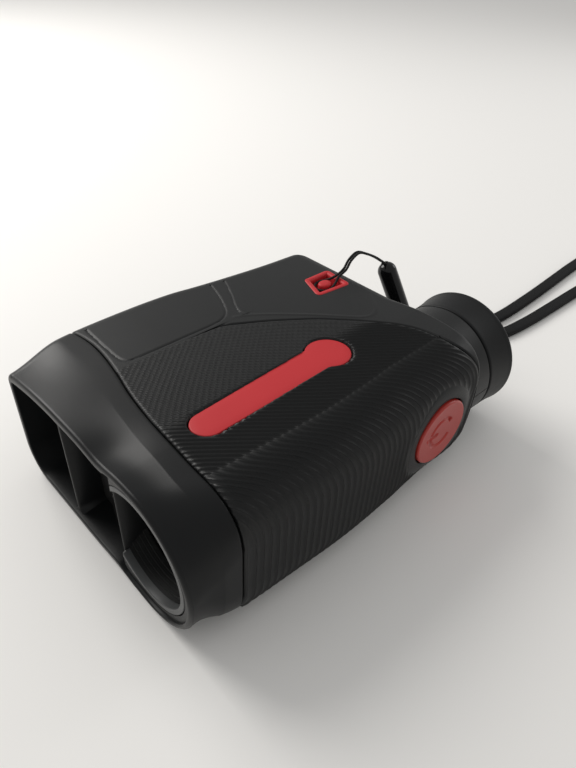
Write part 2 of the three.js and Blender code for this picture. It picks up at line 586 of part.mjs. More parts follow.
const capsuleTop = new THREE.Vector3(-16, 61.9, 31);
const capsuleEnd = new THREE.Vector3(-5.1, 66.5, 7.9);
const path = (points) =>
  new THREE.CatmullRomCurve3(points.map((p) => new THREE.Vector3(...p)), false, "centripetal");
const loopRoute = path([
  [-15.77, 61.6, 31], [-15.6, 60.3, 31.9], [-14.8, 54.2, 36.1], [-14, 48.6, 39.4], [-14.1, 44.4, 41.1],
  [-13.4, 40.2, 40.3], [-12.9, 37.6, 38.2], [-12.9, 34.6, 37], [-14.4, 32.8, 35.6], [-16.1, 30.3, 34.8],
  [-15.2, 27.8, 34.7], [-13.3, 27.1, 34.7], [-11.5, 28.1, 34.7], [-10.9, 30.2, 34.8], [-11.4, 32.7, 35.6],
  [-11.9, 34.6, 37], [-11.9, 37.6, 38.3], [-12.4, 40.2, 40.4], [-13.1, 44.4, 41.2], [-13, 48.6, 39.5],
  [-13.8, 54.2, 36.2], [-14.8, 60.3, 31.9], [-14.97, 61.6, 31],
]);
piece("lanyard_loop", tubeAlong(loopRoute, cordR, 48), paint.cord());

const lean = capsuleEnd.clone().sub(capsuleTop);
const capsuleLong = lean.length();
const capsule = new THREE.Mesh(new THREE.CapsuleGeometry(capsuleR, capsuleLong - 2 * capsuleR, 5, 16));
capsule.quaternion.setFromUnitVectors(new THREE.Vector3(0, 1, 0), lean.clone().normalize());
capsule.position.copy(capsuleTop).add(capsuleEnd).multiplyScalar(0.5);
capsule.updateMatrixWorld();
const capsuleSolid = solid(capsule.geometry.clone().applyMatrix4(capsule.matrixWorld));
const cordMouth = [new THREE.Vector3(-14.8, 57, 34.2), new THREE.Vector3(-15.5, 62.4, 30.4)];
const cordBore = tubeAlong(new THREE.LineCurve3(...cordMouth), cordBoreR, 1, 12);
piece("lanyard_capsule", capsuleSolid.subtract(cordBore), paint.cord());

// Out of the capsule, along the surface, round a bend and back beside itself.
const strapRoute = path([
  [-5.6, 68, 7.5], [-5.2, 69, 5.2], [-3.6, 71, 2.6], [-1, 74.6, 1.7], [2.6, 84, 1.7], [5.4, 98, 1.7],
  [6.8, 112, 1.7], [6.8, 126, 1.7], [6.3, 142, 1.7], [5.5, 158, 1.7], [4.8, 173, 1.7], [4.9, 186, 1.7],
  [7, 196, 1.7], [12, 200, 1.7], [17, 196.4, 1.7], [18.3, 186, 1.7], [17.6, 170, 1.7], [16.7, 152, 1.7],
  [16.2, 132, 1.7], [15.6, 116, 1.7], [14, 102, 1.7], [10, 88, 1.7], [5.4, 76.6, 1.7], [1.6, 69.6, 2.2],
  [-1.8, 66.2, 4.2], [-4.2, 65, 7.5],
]);
piece("wrist_strap", tubeAlong(strapRoute, strapR, 52), paint.cord());

export default device;
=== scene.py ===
# A laser rangefinder lying on its left side, with its wrist lanyard laid out behind it.
# Lengths are in millimetres until a mesh is made; the frame is in metres.
import math

import bmesh
import bpy
import numpy as np
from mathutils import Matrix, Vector


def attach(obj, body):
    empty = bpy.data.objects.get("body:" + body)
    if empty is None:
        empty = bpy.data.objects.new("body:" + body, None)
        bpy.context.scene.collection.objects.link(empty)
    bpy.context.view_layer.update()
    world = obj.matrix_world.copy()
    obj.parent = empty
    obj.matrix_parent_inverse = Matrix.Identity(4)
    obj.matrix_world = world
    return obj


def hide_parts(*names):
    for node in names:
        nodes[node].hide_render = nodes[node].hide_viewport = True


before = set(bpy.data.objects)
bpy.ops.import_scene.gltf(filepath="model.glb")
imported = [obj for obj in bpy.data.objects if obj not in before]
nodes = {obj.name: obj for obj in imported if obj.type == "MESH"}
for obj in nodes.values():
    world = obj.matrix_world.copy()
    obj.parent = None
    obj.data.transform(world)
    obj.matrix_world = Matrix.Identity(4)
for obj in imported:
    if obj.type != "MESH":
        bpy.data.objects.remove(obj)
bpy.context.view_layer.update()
mm = 0.001

# Camera and light
view = {"place": (95.78, -91.8, 129.0), "azimuth": 45.04, "pitch": 39.12, "roll": 3.34, "lens": 29.11}
light = {"world": 0.5, "key": 4.6, "keyPlace": (-0.62, -0.12, 0.5), "keySize": 0.5,
         "rim": 0.5, "rimPlace": (0.1, 0.7, 0.3), "rimSize": 0.3, "floor": (0.9, 0.89, 0.87)}


def makeCamera():
    az, pitch, roll = (math.radians(view[k]) for k in ("azimuth", "pitch", "roll"))
    back = Vector((math.sin(az) * math.cos(pitch), -math.cos(az) * math.cos(pitch), math.sin(pitch)))
    right = Vector((math.cos(az), math.sin(az), 0))
    up = back.cross(right)
    side = right * math.cos(roll) + up * math.sin(roll)
    head = up * math.cos(roll) - right * math.sin(roll)
    data = bpy.data.cameras.new("camera")
    data.lens = view["lens"]
    data.sensor_width = 36
    data.clip_start = 0.005
    camera = bpy.data.objects.new("camera", data)
    bpy.context.scene.collection.objects.link(camera)
    turn = np.array([side, head, back]).T
    for row in range(3):
        for column in range(3):
            camera.matrix_world[row][column] = turn[row][column]
        camera.matrix_world[row][3] = view["place"][row] * mm
    bpy.context.scene.camera = camera
    print("camera ready")


def areaLamp(name, place, size, energy, colour=(1, 1, 1)):
    data = bpy.data.lights.new(name, "AREA")
    data.shape = "DISK"
    data.size = size
    data.energy = energy
    data.color = colour
    lamp = bpy.data.objects.new(name, data)
    bpy.context.scene.collection.objects.link(lamp)
    lamp.location = place
    lamp.rotation_euler = (-Vector(place)).to_track_quat("-Z", "Y").to_euler()


makeCamera()


# Mesh helpers
def meshPiece(name, verts, faces, material, body="housing", smoothAngle=38):
    mesh = bpy.data.meshes.new(name)
    mesh.from_pydata([tuple(float(c) * mm for c in v) for v in verts], [], faces)
    piece = bpy.data.objects.new(name, mesh)
    bpy.context.scene.collection.objects.link(piece)
    bm = bmesh.new()
    bm.from_mesh(mesh)
    bmesh.ops.remove_doubles(bm, verts=bm.verts, dist=1e-6)
    bmesh.ops.dissolve_degenerate(bm, edges=bm.edges, dist=1e-6)
    bm.to_mesh(mesh)
    bm.free()
    mesh.polygons.foreach_set("use_smooth", [True] * len(mesh.polygons))
    mesh.set_sharp_from_angle(angle=math.radians(smoothAngle))
    mesh.materials.append(material)
    if body:
        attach(piece, body)
    return piece


def gridFaces(rows, columns, closed=False, flip=False, start=0):
    faces = []
    last = columns if closed else columns - 1
    for r in range(rows - 1):
        for c in range(last):
            a = start + r * columns + c
            b = start + r * columns + (c + 1) % columns
            quad = (a, b, b + columns, a + columns)
            faces.append(quad[::-1] if flip else quad)
    return faces


# Rings of a (radius, station) profile about an axis through centre
def turnedMesh(profile, centre, axis="y", sides=128, closed=False):
    loop = list(profile) + ([profile[0]] if closed else [])
    verts = []
    for r, s in loop:
        for i in range(sides):
            a = 2 * math.pi * i / sides
            u, v = r * math.cos(a), r * math.sin(a)
            place = (centre[0] + u, s, centre[2] + v) if axis == "y" else (s, centre[1] + u, centre[2] + v)
            verts.append(place)
    return verts, gridFaces(len(loop), sides, closed=True, flip=(axis == "y"))


# Catmull-Rom curve through given points
def smoothCurve(points, count):
    p = np.array(points, float)
    p = np.vstack([2 * p[0] - p[1], p, 2 * p[-1] - p[-2]])
    spans = len(p) - 3
    out = []
    for k in np.linspace(0, spans - 1e-6, count):
        i = int(k)
        t = k - i
        a, b, c, d = p[i:i + 4]
        square = (2 * a - 5 * b + 4 * c - d) * t * t
        cube = (3 * b - a - 3 * c + d) * t ** 3
        out.append(0.5 * (2 * b + (c - a) * t + square + cube))
    return np.array(out)


# Distance from each point to a polyline, in the plane
def lineDistance(points, line):
    best = np.full(len(points), 1e9)
    for a, b in zip(line[:-1], line[1:]):
        ab = b - a
        t = np.clip(((points - a) @ ab) / max(ab @ ab, 1e-9), 0, 1)
        best = np.minimum(best, np.linalg.norm(points - (a + t[:, None] * ab), axis=1))
    return best


def ease(a, b, v):
    t = np.clip((v - a) / (b - a), 0, 1)
    return t * t * (3 - 2 * t)


# Node helpers and finishes
def newGroup(name, inputs, outputs):
    tree = bpy.data.node_groups.new(name, "ShaderNodeTree")
    for label, kind, value in inputs:
        socket = tree.interface.new_socket(name=label, in_out="INPUT", socket_type=kind)
        if value is not None:
            socket.default_value = value
    for label, kind in outputs:
        tree.interface.new_socket(name=label, in_out="OUTPUT", socket_type=kind)
    return tree, tree.nodes.new("NodeGroupInput"), tree.nodes.new("NodeGroupOutput")


# Fine moulded texture: a tone that drifts, a roughness that drifts and a grain normal
def mouldedGrain():
    tree, into, out = newGroup(
        "mouldedGrain",
        [("Colour", "NodeSocketColor", (0.03, 0.03, 0.03, 1)), ("Drift", "NodeSocketFloat", 0.15),
         ("Roughness", "NodeSocketFloat", 0.5), ("Grain Size", "NodeSocketFloat", 0.25),
         ("Grain Depth", "NodeSocketFloat", 0.12)],
        [("Colour", "NodeSocketColor"), ("Roughness", "NodeSocketFloat"), ("Normal", "NodeSocketVector")])
    add, join = tree.nodes.new, tree.links.new
    where = add("ShaderNodeTexCoord")
    broad = add("ShaderNodeTexNoise")
    broad.inputs["Scale"].default_value = 55
    broad.inputs["Detail"].default_value = 5
    join(where.outputs["Object"], broad.inputs["Vector"])
    scale = add("ShaderNodeMath")
    scale.operation = "DIVIDE"
    scale.inputs[0].default_value = 1000
    join(into.outputs["Grain Size"], scale.inputs[1])
    grain = add("ShaderNodeTexNoise")
    grain.inputs["Detail"].default_value = 3
    join(where.outputs["Object"], grain.inputs["Vector"])
    join(scale.outputs[0], grain.inputs["Scale"])
    centred = add("ShaderNodeMath")
    centred.operation = "SUBTRACT"
    join(broad.outputs["Fac"], centred.inputs[0])
    centred.inputs[1].default_value = 0.5
    drift = add("ShaderNodeMath")
    drift.operation = "MULTIPLY_ADD"
    join(centred.outputs[0], drift.inputs[0])
    join(into.outputs["Drift"], drift.inputs[1])
    drift.inputs[2].default_value = 1
    tone = add("ShaderNodeVectorMath")
    tone.operation = "SCALE"
    join(into.outputs["Colour"], tone.inputs[0])
    join(drift.outputs[0], tone.inputs["Scale"])
    rough = add("ShaderNodeMath")
    rough.operation = "MULTIPLY_ADD"
    join(centred.outputs[0], rough.inputs[0])
    rough.inputs[1].default_value = 0.16
    join(into.outputs["Roughness"], rough.inputs[2])
    bump = add("ShaderNodeBump")
    bump.inputs["Distance"].default_value = 0.0001
    join(into.outputs["Grain Depth"], bump.inputs["Strength"])
    join(grain.outputs["Fac"], bump.inputs["Height"])
    join(tone.outputs[0], out.inputs["Colour"])
    join(rough.outputs[0], out.inputs["Roughness"])
    join(bump.outputs[0], out.inputs["Normal"])
    return tree


grainGroup = mouldedGrain()


# Rows of short staggered dashes that follow the ribs at half their pitch, with painted shade darkening the
# grooves between them
def wovenScales():
    tree, into, out = newGroup(
        "wovenScales",
        [("Colour", "NodeSocketColor", (0.01, 0.01, 0.01, 1)), ("Normal", "NodeSocketVector", None),
         ("Depth", "NodeSocketFloat", 0.5)],
        [("Colour", "NodeSocketColor"), ("Normal", "NodeSocketVector")])
    add, join = tree.nodes.new, tree.links.new

    def named(label):
        node = add("ShaderNodeAttribute")
        node.attribute_name = label
        return node.outputs["Fac"]

    def calc(operation, *values):
        node = add("ShaderNodeMath")
        node.operation = operation
        for socket, value in zip(node.inputs, values):
            if isinstance(value, (int, float)):
                socket.default_value = value
            else:
                join(value, socket)
        return node.outputs[0]

    row = calc("MULTIPLY", named("ribPhase"), 2)
    odd = calc("MULTIPLY", calc("MODULO", calc("FLOOR", calc("ADD", row, 400)), 2), 0.5)
    ridge = calc("ABSOLUTE", calc("SINE", calc("MULTIPLY", row, math.pi)))
    dash = calc("ABSOLUTE", calc("SINE", calc("MULTIPLY", calc("ADD", named("across"), odd), math.pi)))
    height = calc("MULTIPLY", calc("POWER", ridge, 0.6), calc("POWER", dash, 0.35))
    relief = calc("MULTIPLY", calc("SUBTRACT", height, 1), named("weave"))
    bump = add("ShaderNodeBump")
    bump.inputs["Distance"].default_value = 0.0003
    join(into.outputs["Depth"], bump.inputs["Strength"])
    join(relief, bump.inputs["Height"])
    join(into.outputs["Normal"], bump.inputs["Normal"])
    # Painted shade: the colour falls to a quarter of its value in the grooves between the dashes, following the
    # same relief as the bump
    paintedGrooveShade = add("ShaderNodeVectorMath")
    paintedGrooveShade.operation = "SCALE"
    join(into.outputs["Colour"], paintedGrooveShade.inputs[0])
    join(calc("MULTIPLY_ADD", relief, 0.75, 1), paintedGrooveShade.inputs["Scale"])
    join(paintedGrooveShade.outputs[0], out.inputs["Colour"])
    join(bump.outputs[0], out.inputs["Normal"])
    return tree


def finishOf(name, colour, roughness, drift=0.2, grain=0.25, depth=0.15, metallic=0.0, specular=0.32, coat=0.0,
             coatRough=0.1, transmission=0.0, ior=1.5, subsurface=0.0):
    material = bpy.data.materials.new(name)
    material.use_nodes = True
    tree = material.node_tree
    shader = tree.nodes["Principled BSDF"]
    group = tree.nodes.new("ShaderNodeGroup")
    group.node_tree = grainGroup
    group.inputs["Colour"].default_value = (*colour, 1)
    group.inputs["Drift"].default_value = drift
    group.inputs["Roughness"].default_value = roughness
    group.inputs["Grain Size"].default_value = grain
    group.inputs["Grain Depth"].default_value = depth
    tree.links.new(group.outputs["Colour"], shader.inputs["Base Color"])
    tree.links.new(group.outputs["Roughness"], shader.inputs["Roughness"])
    tree.links.new(group.outputs["Normal"], shader.inputs["Normal"])
    shader.inputs["Metallic"].default_value = metallic
    shader.inputs["Specular IOR Level"].default_value = specular
    shader.inputs["Coat Weight"].default_value = coat
    shader.inputs["Coat Roughness"].default_value = coatRough
    shader.inputs["Transmission Weight"].default_value = transmission
    shader.inputs["IOR"].default_value = ior
    shader.inputs["Subsurface Weight"].default_value = subsurface
    if subsurface:
        shader.inputs["Subsurface Scale"].default_value = 0.002
    return material


finish = {
    "shell": finishOf("satin shell plastic", (0.011, 0.0117, 0.012), 0.42, specular=0.24,
                      drift=0.25, grain=0.16, depth=0.3),
    "bezel": finishOf("bezel plastic", (0.007, 0.0075, 0.008), 0.36, specular=0.2,
                      drift=0.2, grain=0.16, depth=0.15),
    "rubber": finishOf("ribbed rubber", (0.0055, 0.006, 0.0063), 0.42, specular=0.3,
                       drift=0.35, grain=0.2, depth=0.25),
    "red": finishOf("matt red plastic", (0.5, 0.022, 0.028), 0.5, drift=0.12, grain=0.2, depth=0.2),
    "button": finishOf("button red", (0.4, 0.028, 0.02), 0.36, drift=0.15, grain=0.3, depth=0.1, coat=0.25,
                       coatRough=0.25, subsurface=0.12),
    "cup": finishOf("eyecup rubber", (0.008, 0.0085, 0.009), 0.48, specular=0.2,
                    drift=0.25, grain=0.2, depth=0.25),
    "black": finishOf("matt black", (0.008, 0.008, 0.008), 0.6, drift=0.3, grain=0.3, depth=0.2),
    "glass": finishOf("coated glass", (0.45, 0.62, 0.6), 0.03,
                      drift=0.02, depth=0.0, transmission=0.9, ior=1.52),
    "steel": finishOf("bright steel", (0.62, 0.62, 0.63), 0.3,
                      drift=0.1, grain=0.1, depth=0.2, metallic=1),
    "brass": finishOf("brass", (0.66, 0.46, 0.2), 0.3, drift=0.15, grain=0.2, depth=0.1, metallic=1),
    "board": finishOf("circuit board", (0.02, 0.13, 0.05), 0.4, drift=0.3, grain=0.8, depth=0.3),
    "cell": finishOf("battery sleeve", (0.05, 0.05, 0.055), 0.25, drift=0.1, depth=0.02, metallic=0.4),
    "cord": finishOf("braided cord", (0.006, 0.006, 0.006), 0.75, drift=0.4, grain=0.12, depth=0.8),
    "strap": finishOf("woven strap", (0.008, 0.0083, 0.0086), 0.7,
                      drift=0.3, grain=0.15, depth=0.8, specular=0.15),
    "capsule": finishOf("gloss black plastic", (0.006, 0.006, 0.0065), 0.13, drift=0.2, depth=0.02),
}



def addScales(material):
    tree = material.node_tree
    shader = tree.nodes["Principled BSDF"]
    scales = tree.nodes.new("ShaderNodeGroup")
    scales.node_tree = wovenScales()
    grain = shader.inputs["Normal"].links[0].from_node
    tree.links.new(grain.outputs["Colour"], scales.inputs["Colour"])
    tree.links.new(grain.outputs["Normal"], scales.inputs["Normal"])
    tree.links.new(scales.outputs["Colour"], shader.inputs["Base Color"])
    tree.links.new(scales.outputs["Normal"], shader.inputs["Normal"])


addScales(finish["rubber"])
finish["ring"] = finishOf("ring plastic", (0.06, 0.062, 0.063), 0.35, drift=0.15, grain=0.16, depth=0.1)

# Lanyard
lanyard = {"cord": 0.38, "strapWide": 4.7, "strapThick": 2.3, "strapLift": -0.5, "capsule": 3.2,
           "capsuleTop": (-16, 61.9, 31), "capsuleEnd": (-5.1, 66.5, 7.9)}
loopRoute = [
    (-15.77, 61.6, 31), (-15.6, 60.3, 31.9), (-14.8, 54.2, 36.1), (-14, 48.6, 39.4), (-14.1, 44.4, 41.1),
    (-13.4, 40.2, 40.3), (-12.9, 37.6, 38.2), (-12.9, 34.6, 37), (-14.4, 32.8, 35.6), (-16.1, 30.3, 34.8),
    (-15.2, 27.8, 34.7), (-13.3, 27.1, 34.7), (-11.5, 28.1, 34.7), (-10.9, 30.2, 34.8),
    (-11.4, 32.7, 35.6),
    (-11.9, 34.6, 37), (-11.9, 37.6, 38.3), (-12.4, 40.2, 40.4), (-13.1, 44.4, 41.2), (-13, 48.6, 39.5),
    (-13.8, 54.2, 36.2), (-14.8, 60.3, 31.9), (-14.97, 61.6, 31)]
strapRoute = [
    (-5.6, 68, 7.5), (-5.2, 69, 5.2), (-3.6, 71, 2.6), (-1, 74.6, 1.7), (2.6, 84, 1.7), (5.4, 98, 1.7),
    (6.8, 112, 1.7), (6.8, 126, 1.7), (6.3, 142, 1.7), (5.5, 158, 1.7), (4.8, 173, 1.7), (4.9, 186, 1.7),
    (7, 196, 1.7), (12, 200, 1.7), (17, 196.4, 1.7), (18.3, 186, 1.7), (17.6, 170, 1.7), (16.7, 152, 1.7),
    (16.2, 132, 1.7), (15.6, 116, 1.7), (14, 102, 1.7), (10, 88, 1.7), (5.4, 76.6, 1.7), (1.6, 69.6, 2.2),
    (-1.8, 66.2, 4.2), (-4.2, 65, 7.5)]


# Section rings along a path; widthFrom(i, tangent) gives the direction of the section's width
def sweep(path, section, widthFrom):
    verts = []
    tangents = np.gradient(path, axis=0)
    tangents /= np.linalg.norm(tangents, axis=1)[:, None]
    for i, (p, t) in enumerate(zip(path, tangents)):
        wide = widthFrom(i, t)
        wide = wide - t * (wide @ t)
        wide /= np.linalg.norm(wide)
        thick = np.cross(t, wide)
        verts += [p + wide * u + thick * v for u, v in section]
    count = len(section)
    faces = gridFaces(len(path), count, closed=True)
    faces.append(tuple(range(count))[::-1])
    faces.append(tuple((len(path) - 1) * count + k for k in range(count)))
    return verts, faces


def makeLanyard():
    route = smoothCurve(loopRoute, 260)
    section = [(lanyard["cord"] * math.cos(a), lanyard["cord"] * math.sin(a))
               for a in np.linspace(0, 2 * math.pi, 12, endpoint=False)]
    verts, faces = sweep(route, section, lambda i, t: np.cross(t, (0.13, 0.2, 1)))
    loop = meshPiece("cordLoop", verts, faces, finish["cord"])
    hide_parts("lanyard_loop")

    top, end = np.array(lanyard["capsuleTop"]), np.array(lanyard["capsuleEnd"])
    long = np.linalg.norm(end - top)
    axis = (end - top) / long
    r = lanyard["capsule"]
    profile = [(1.0, 1.6), (1.0, 0.35), (1.25, 0.1)]
    for a in np.linspace(0.45, math.pi / 2, 14):
        profile.append((r * math.sin(a), r - r * math.cos(a)))
    profile += [(r + 0.02, long * f) for f in (0.3, 0.5, 0.7)]
    for a in np.linspace(math.pi / 2, math.pi - 0.02, 18):
        profile.append((r * math.sin(a), long - r - r * math.cos(a)))
    aside = np.cross(axis, (0, 0, 1))
    aside /= np.linalg.norm(aside)
    other = np.cross(axis, aside)
    verts = []
    sides = 64
    for radius, along in profile:
        for i in range(sides):
            a = 2 * math.pi * i / sides
            verts.append(top + axis * along + (aside * math.cos(a) + other * math.sin(a)) * radius)
    faces = gridFaces(len(profile), sides, closed=True)
    faces.append(tuple(range(sides))[::-1])
    faces.append(tuple((len(profile) - 1) * sides + k for k in range(sides)))
    capsule = meshPiece("cordCapsule", verts, faces, finish["capsule"])
    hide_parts("lanyard_capsule")

    path = smoothCurve(strapRoute, 560)
    low = ease(0, 40, np.arange(560)) * ease(0, 40, np.arange(560)[::-1])
    path[:, 2] += lanyard["strapLift"] * low
    half, thick = lanyard["strapWide"] / 2, lanyard["strapThick"] / 2
    section = []
    for k in range(20):
        a = 2 * math.pi * k / 20
        c, s = math.cos(a), math.sin(a)
        section.append((half * math.copysign(abs(c) ** 0.55, c), thick * math.copysign(abs(s) ** 0.75, s)))

    def flat(i, t):
        level = np.cross((0, 0, 1.0), t)
        return level / max(np.linalg.norm(level), 1e-6)

    verts, faces = sweep(path, section, flat)
    strap = meshPiece("wristStrap", verts, faces, finish["strap"])
    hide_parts("wrist_strap")
    print("lanyard laid out")


makeLanyard()

# Form of the body
body = {"thick": 37.1, "slope": 0.038, "slopeFrom": 15, "frontY": -58, "rearY": 39.3, "rearRound": 3.5,
        "lowRound": 4.0, "highRound": 12.5, "split": -15.1, "axisX": 20.5, "neckR": 17.0, "neckY": 47.4,
        "fillet": 2.6, "gap": 0.32}
midZ = body["thick"] / 2
buttonY = 21.4
sideJointY = 38.6
lipForm = {"waist": (8, 1.1, 6), "thinFrom": -10, "thinLong": 26, "thinBy": 3.4, "lowCorner": {1: 3.4, -1: 9.0}}
lowEdge = [(-58, -36.2), (-47, -38.8), (-38, -40.1), (-20, -40.7), (-8, -40.2), (0, -38.9),
           (12, -37.3), (25, -36), (40, -35.2)]
highEdge = [(-58, 39.03), (-50, 39.2), (-44, 39.3), (-36, 39.7), (-14, 40.7), (4, 40.2), (12, 39.6),
            (30, 39.4), (38, 38.2), (40, 38)]
seamLine = [(-41, -39), (-37, -38.8), (-33, -38.1), (-28, -37.8), (-22, -38.3), (-15, -39.5),
            (-5, -41.6), (5, -43), (15, -43.8), (24, -44.3), (42, -44.7)]
gripEdge = [(-15.4, -16), (-15.0, -11), (-14.6, -8), (-12, -3), (-8, 3.6), (-4, 9), (0, 14), (5, 19),
            (10, 23.5), (15, 27.5), (20, 30.4), (25, 31.9), (31, 32.6)]


# Smooth value of a station table
def along(table, v):
    last = len(table) - 1
    k = 0
    while k < last - 1 and v > table[k + 1][0]:
        k += 1

    def slope(n):
        a, b = table[max(0, n - 1)], table[min(last, n + 1)]
        return (b[1] - a[1]) / (b[0] - a[0])

    (x0, v0), (x1, v1) = table[k], table[k + 1]
    t = min(1.0, max(0.0, (v - x0) / (x1 - x0)))
    span = x1 - x0
    return (v0 * (1 + 2 * t) * (1 - t) ** 2 + v1 * t * t * (3 - 2 * t)
            + span * (slope(k) * t * (1 - t) ** 2 - slope(k + 1) * t * t * (1 - t)))


def topZ(x):
    return body["thick"] - body["slope"] * max(0.0, body["slopeFrom"] - x)


# How far the waist beside the objective draws in the lip
def waistAt(x):
    middle, deep, wide = lipForm["waist"]
    return deep * math.exp(-(((x - middle) / wide) ** 2))


# Y of the joint between grip and shell round the top side; t is 0 at the flat and 1 at the side
def sideJoint(t):
    return 32.6 + 6.2 * float(ease(0, 1, t * 0.95))


# A point of the outer form; side is 1 on the right half and -1 on the left half
def ringPoint(region, t, y, inset=0.0, front=0.0, side=1):
    low = along(lowEdge, y) + inset
    high = along(highEdge, y) - inset
    rHigh = body["highRound"] + (midZ - 0.1 - body["highRound"]) * front - inset
    rLow = body["lowRound"] + (lipForm["lowCorner"][side] - body["lowRound"]) * front
    rLow = max(0.6, rLow - inset)

    def flat(x):
        waist = waistAt(x)
        if side < 0:
            return inset + front * 0.6 * waist
        thin = lipForm["thinBy"] * max(0.0, (lipForm["thinFrom"] - x) / lipForm["thinLong"]) ** 2
        return topZ(x) - inset - front * (waist + thin)

    if region == "lowSide":
        z1 = flat(low + rLow) - side * rLow
        z = midZ + side * 0.12 + (z1 - midZ - side * 0.12) * t
        return low, z
    if region == "lowCorner":
        a = math.pi * (1 - t / 2)
        return low + rLow + rLow * math.cos(a), flat(low + rLow) - side * rLow * (1 - math.sin(a))
    if region == "topA":
        x = low + rLow + (body["split"] - low - rLow) * t
        return x, flat(x)
    if region == "topB":
        x = body["split"] + (high - rHigh - body["split"]) * t
        return x, flat(x)
    if region == "highCorner":
        a = math.pi / 2 * (1 - t)
        power = 0.8 + 0.2 * front
        u, v = abs(math.cos(a)) ** power, abs(math.sin(a)) ** power
        return high - rHigh + rHigh * u, flat(high - rHigh) - side * rHigh * (1 - v)
    z0 = flat(high - rHigh) - side * rHigh
    return high, z0 + (midZ + side * 0.12 - z0) * t


# (region, t) columns, with the count that each region gets
def columnsOf(**counts):
    out = []
    for region, count in counts.items():
        ts = np.linspace(0, 1, count + 1)
        out += [(region, float(t)) for t in ts]
    return out


# Housing skins
panel = {"lineWide": 0.26, "lineDeep": 0.24, "edgeRound": 0.55, "edgeDrop": 0.4, "skirt": 1.4, "rows": 250}
panelLines = [
    smoothCurve([(-36.6, -35.7), (-33, -35.9), (-25, -36.2), (-19.6, -36.2), (-17.4, -35.4),
                 (-16.6, -33.4), (-16.5, -28), (-16.5, -18), (-16.5, -9), (-16.9, -6.2), (-18.2, -3.8),
                 (-20.6, -1.9), (-26, 0.7), (-32, 2.8), (-37.5, 4.4)], 90),
    smoothCurve([(-36.5, 8.9), (-33, 7.8), (-27, 5), (-22, 2.3), (-19, 0.8), (-16.6, 0.3),
                 (-14.6, 1.2)], 50),
]
ridgeLine = smoothCurve([(-15.6, -2.5), (-13.6, 1.4), (-10, 6.2), (-6, 10.6), (-2, 14.8), (2.2, 18.8),
                         (5, 21.4), (7.4, 24), (8.2, 26.6), (7.2, 29.4), (4.6, 31.8), (1, 34.6)], 80)
eyeCorners = [(-18.6, 26.3), (-8.6, 22.3), (-7.4, 35.4), (-18.5, 36.6)]


# A corner-rounded polygon, counter-clockwise, drawn in by inset
def roundedOutline(corners, r, inset=0.0, steps=8):
    p = np.array(corners, float)
    n = len(p)
    out = []
    for i in range(n):
        a, b, c = p[i - 1], p[i], p[(i + 1) % n]
        u, v = (a - b) / np.linalg.norm(a - b), (c - b) / np.linalg.norm(c - b)
        half = math.acos(np.clip(u @ v, -1, 1)) / 2
        mid = (u + v) / np.linalg.norm(u + v)
        centre = b + mid * (r / math.sin(half))
        rr = max(r - inset, 0.15)
        centre = centre if r > inset else b + mid * ((inset + 0.15) / math.sin(half))
        na = np.array([u[1], -u[0]])
        na = na if na @ mid < 0 else -na
        nc = np.array([v[1], -v[0]])
        nc = nc if nc @ mid < 0 else -nc
        a0, a1 = math.atan2(na[1], na[0]), math.atan2(nc[1], nc[0])
        while a1 < a0:
            a1 += 2 * math.pi
        for k in range(steps + 1):
            a = a0 + (a1 - a0) * k / steps
            out.append(centre + rr * np.array([math.cos(a), math.sin(a)]))
    return np.array(out)


def insideOf(points, outline):
    x, y = points[:, 0], points[:, 1]
    inside = np.zeros(len(points), bool)
    for (x0, y0), (x1, y1) in zip(outline, np.roll(outline, -1, axis=0)):
        cross = ((y0 > y) != (y1 > y)) & (x < (x1 - x0) * (y - y0) / (y1 - y0 + 1e-12) + x0)
        inside ^= cross
    return inside


# Panel lines, the ridge beside the grip and the well under the lanyard eye
def engrave(points, side):
    xy = points[:, :2]
    drop = np.zeros(len(points))
    for line in panelLines:
        d = lineDistance(xy, line)
        drop += panel["lineDeep"] * np.exp(-((d / panel["lineWide"]) ** 2))
    d = lineDistance(xy, ridgeLine)
    fade = ease(37, 31, xy[:, 1])
    drop -= 0.1 * np.exp(-((d / 0.5) ** 2)) * fade
    if side > 0:
        well = roundedOutline(eyeCorners, 1.6, 0.9)
        drop = np.where(insideOf(xy, well), 4.2, drop)
    return drop


# Share of a step along Y that leads away from the slanting edge of the grip
def leanOf(x):
    steep = (along(gripEdge, x + 0.3) - along(gripEdge, x - 0.3)) / 0.6
    return 1 / math.hypot(1, steep)


# Y where the shell begins in a column: the bezel seam, or the edge of the grip
def startOf(region, t, y0=20.0):
    x = ringPoint(region, t, y0)[0]
    if region in ("lowSide", "lowCorner", "topA"):
        return along(seamLine, ringPoint(region, t, -39)[0]) + body["gap"] / 2, 1.0
    if region == "topB":
        lean = leanOf(x)
        return along(gripEdge, x) + body["gap"] / 2 / lean, lean
    if region == "highCorner":
        return sideJoint(t) + 0.15, 1.0
    return sideJointY + 0.15, 1.0


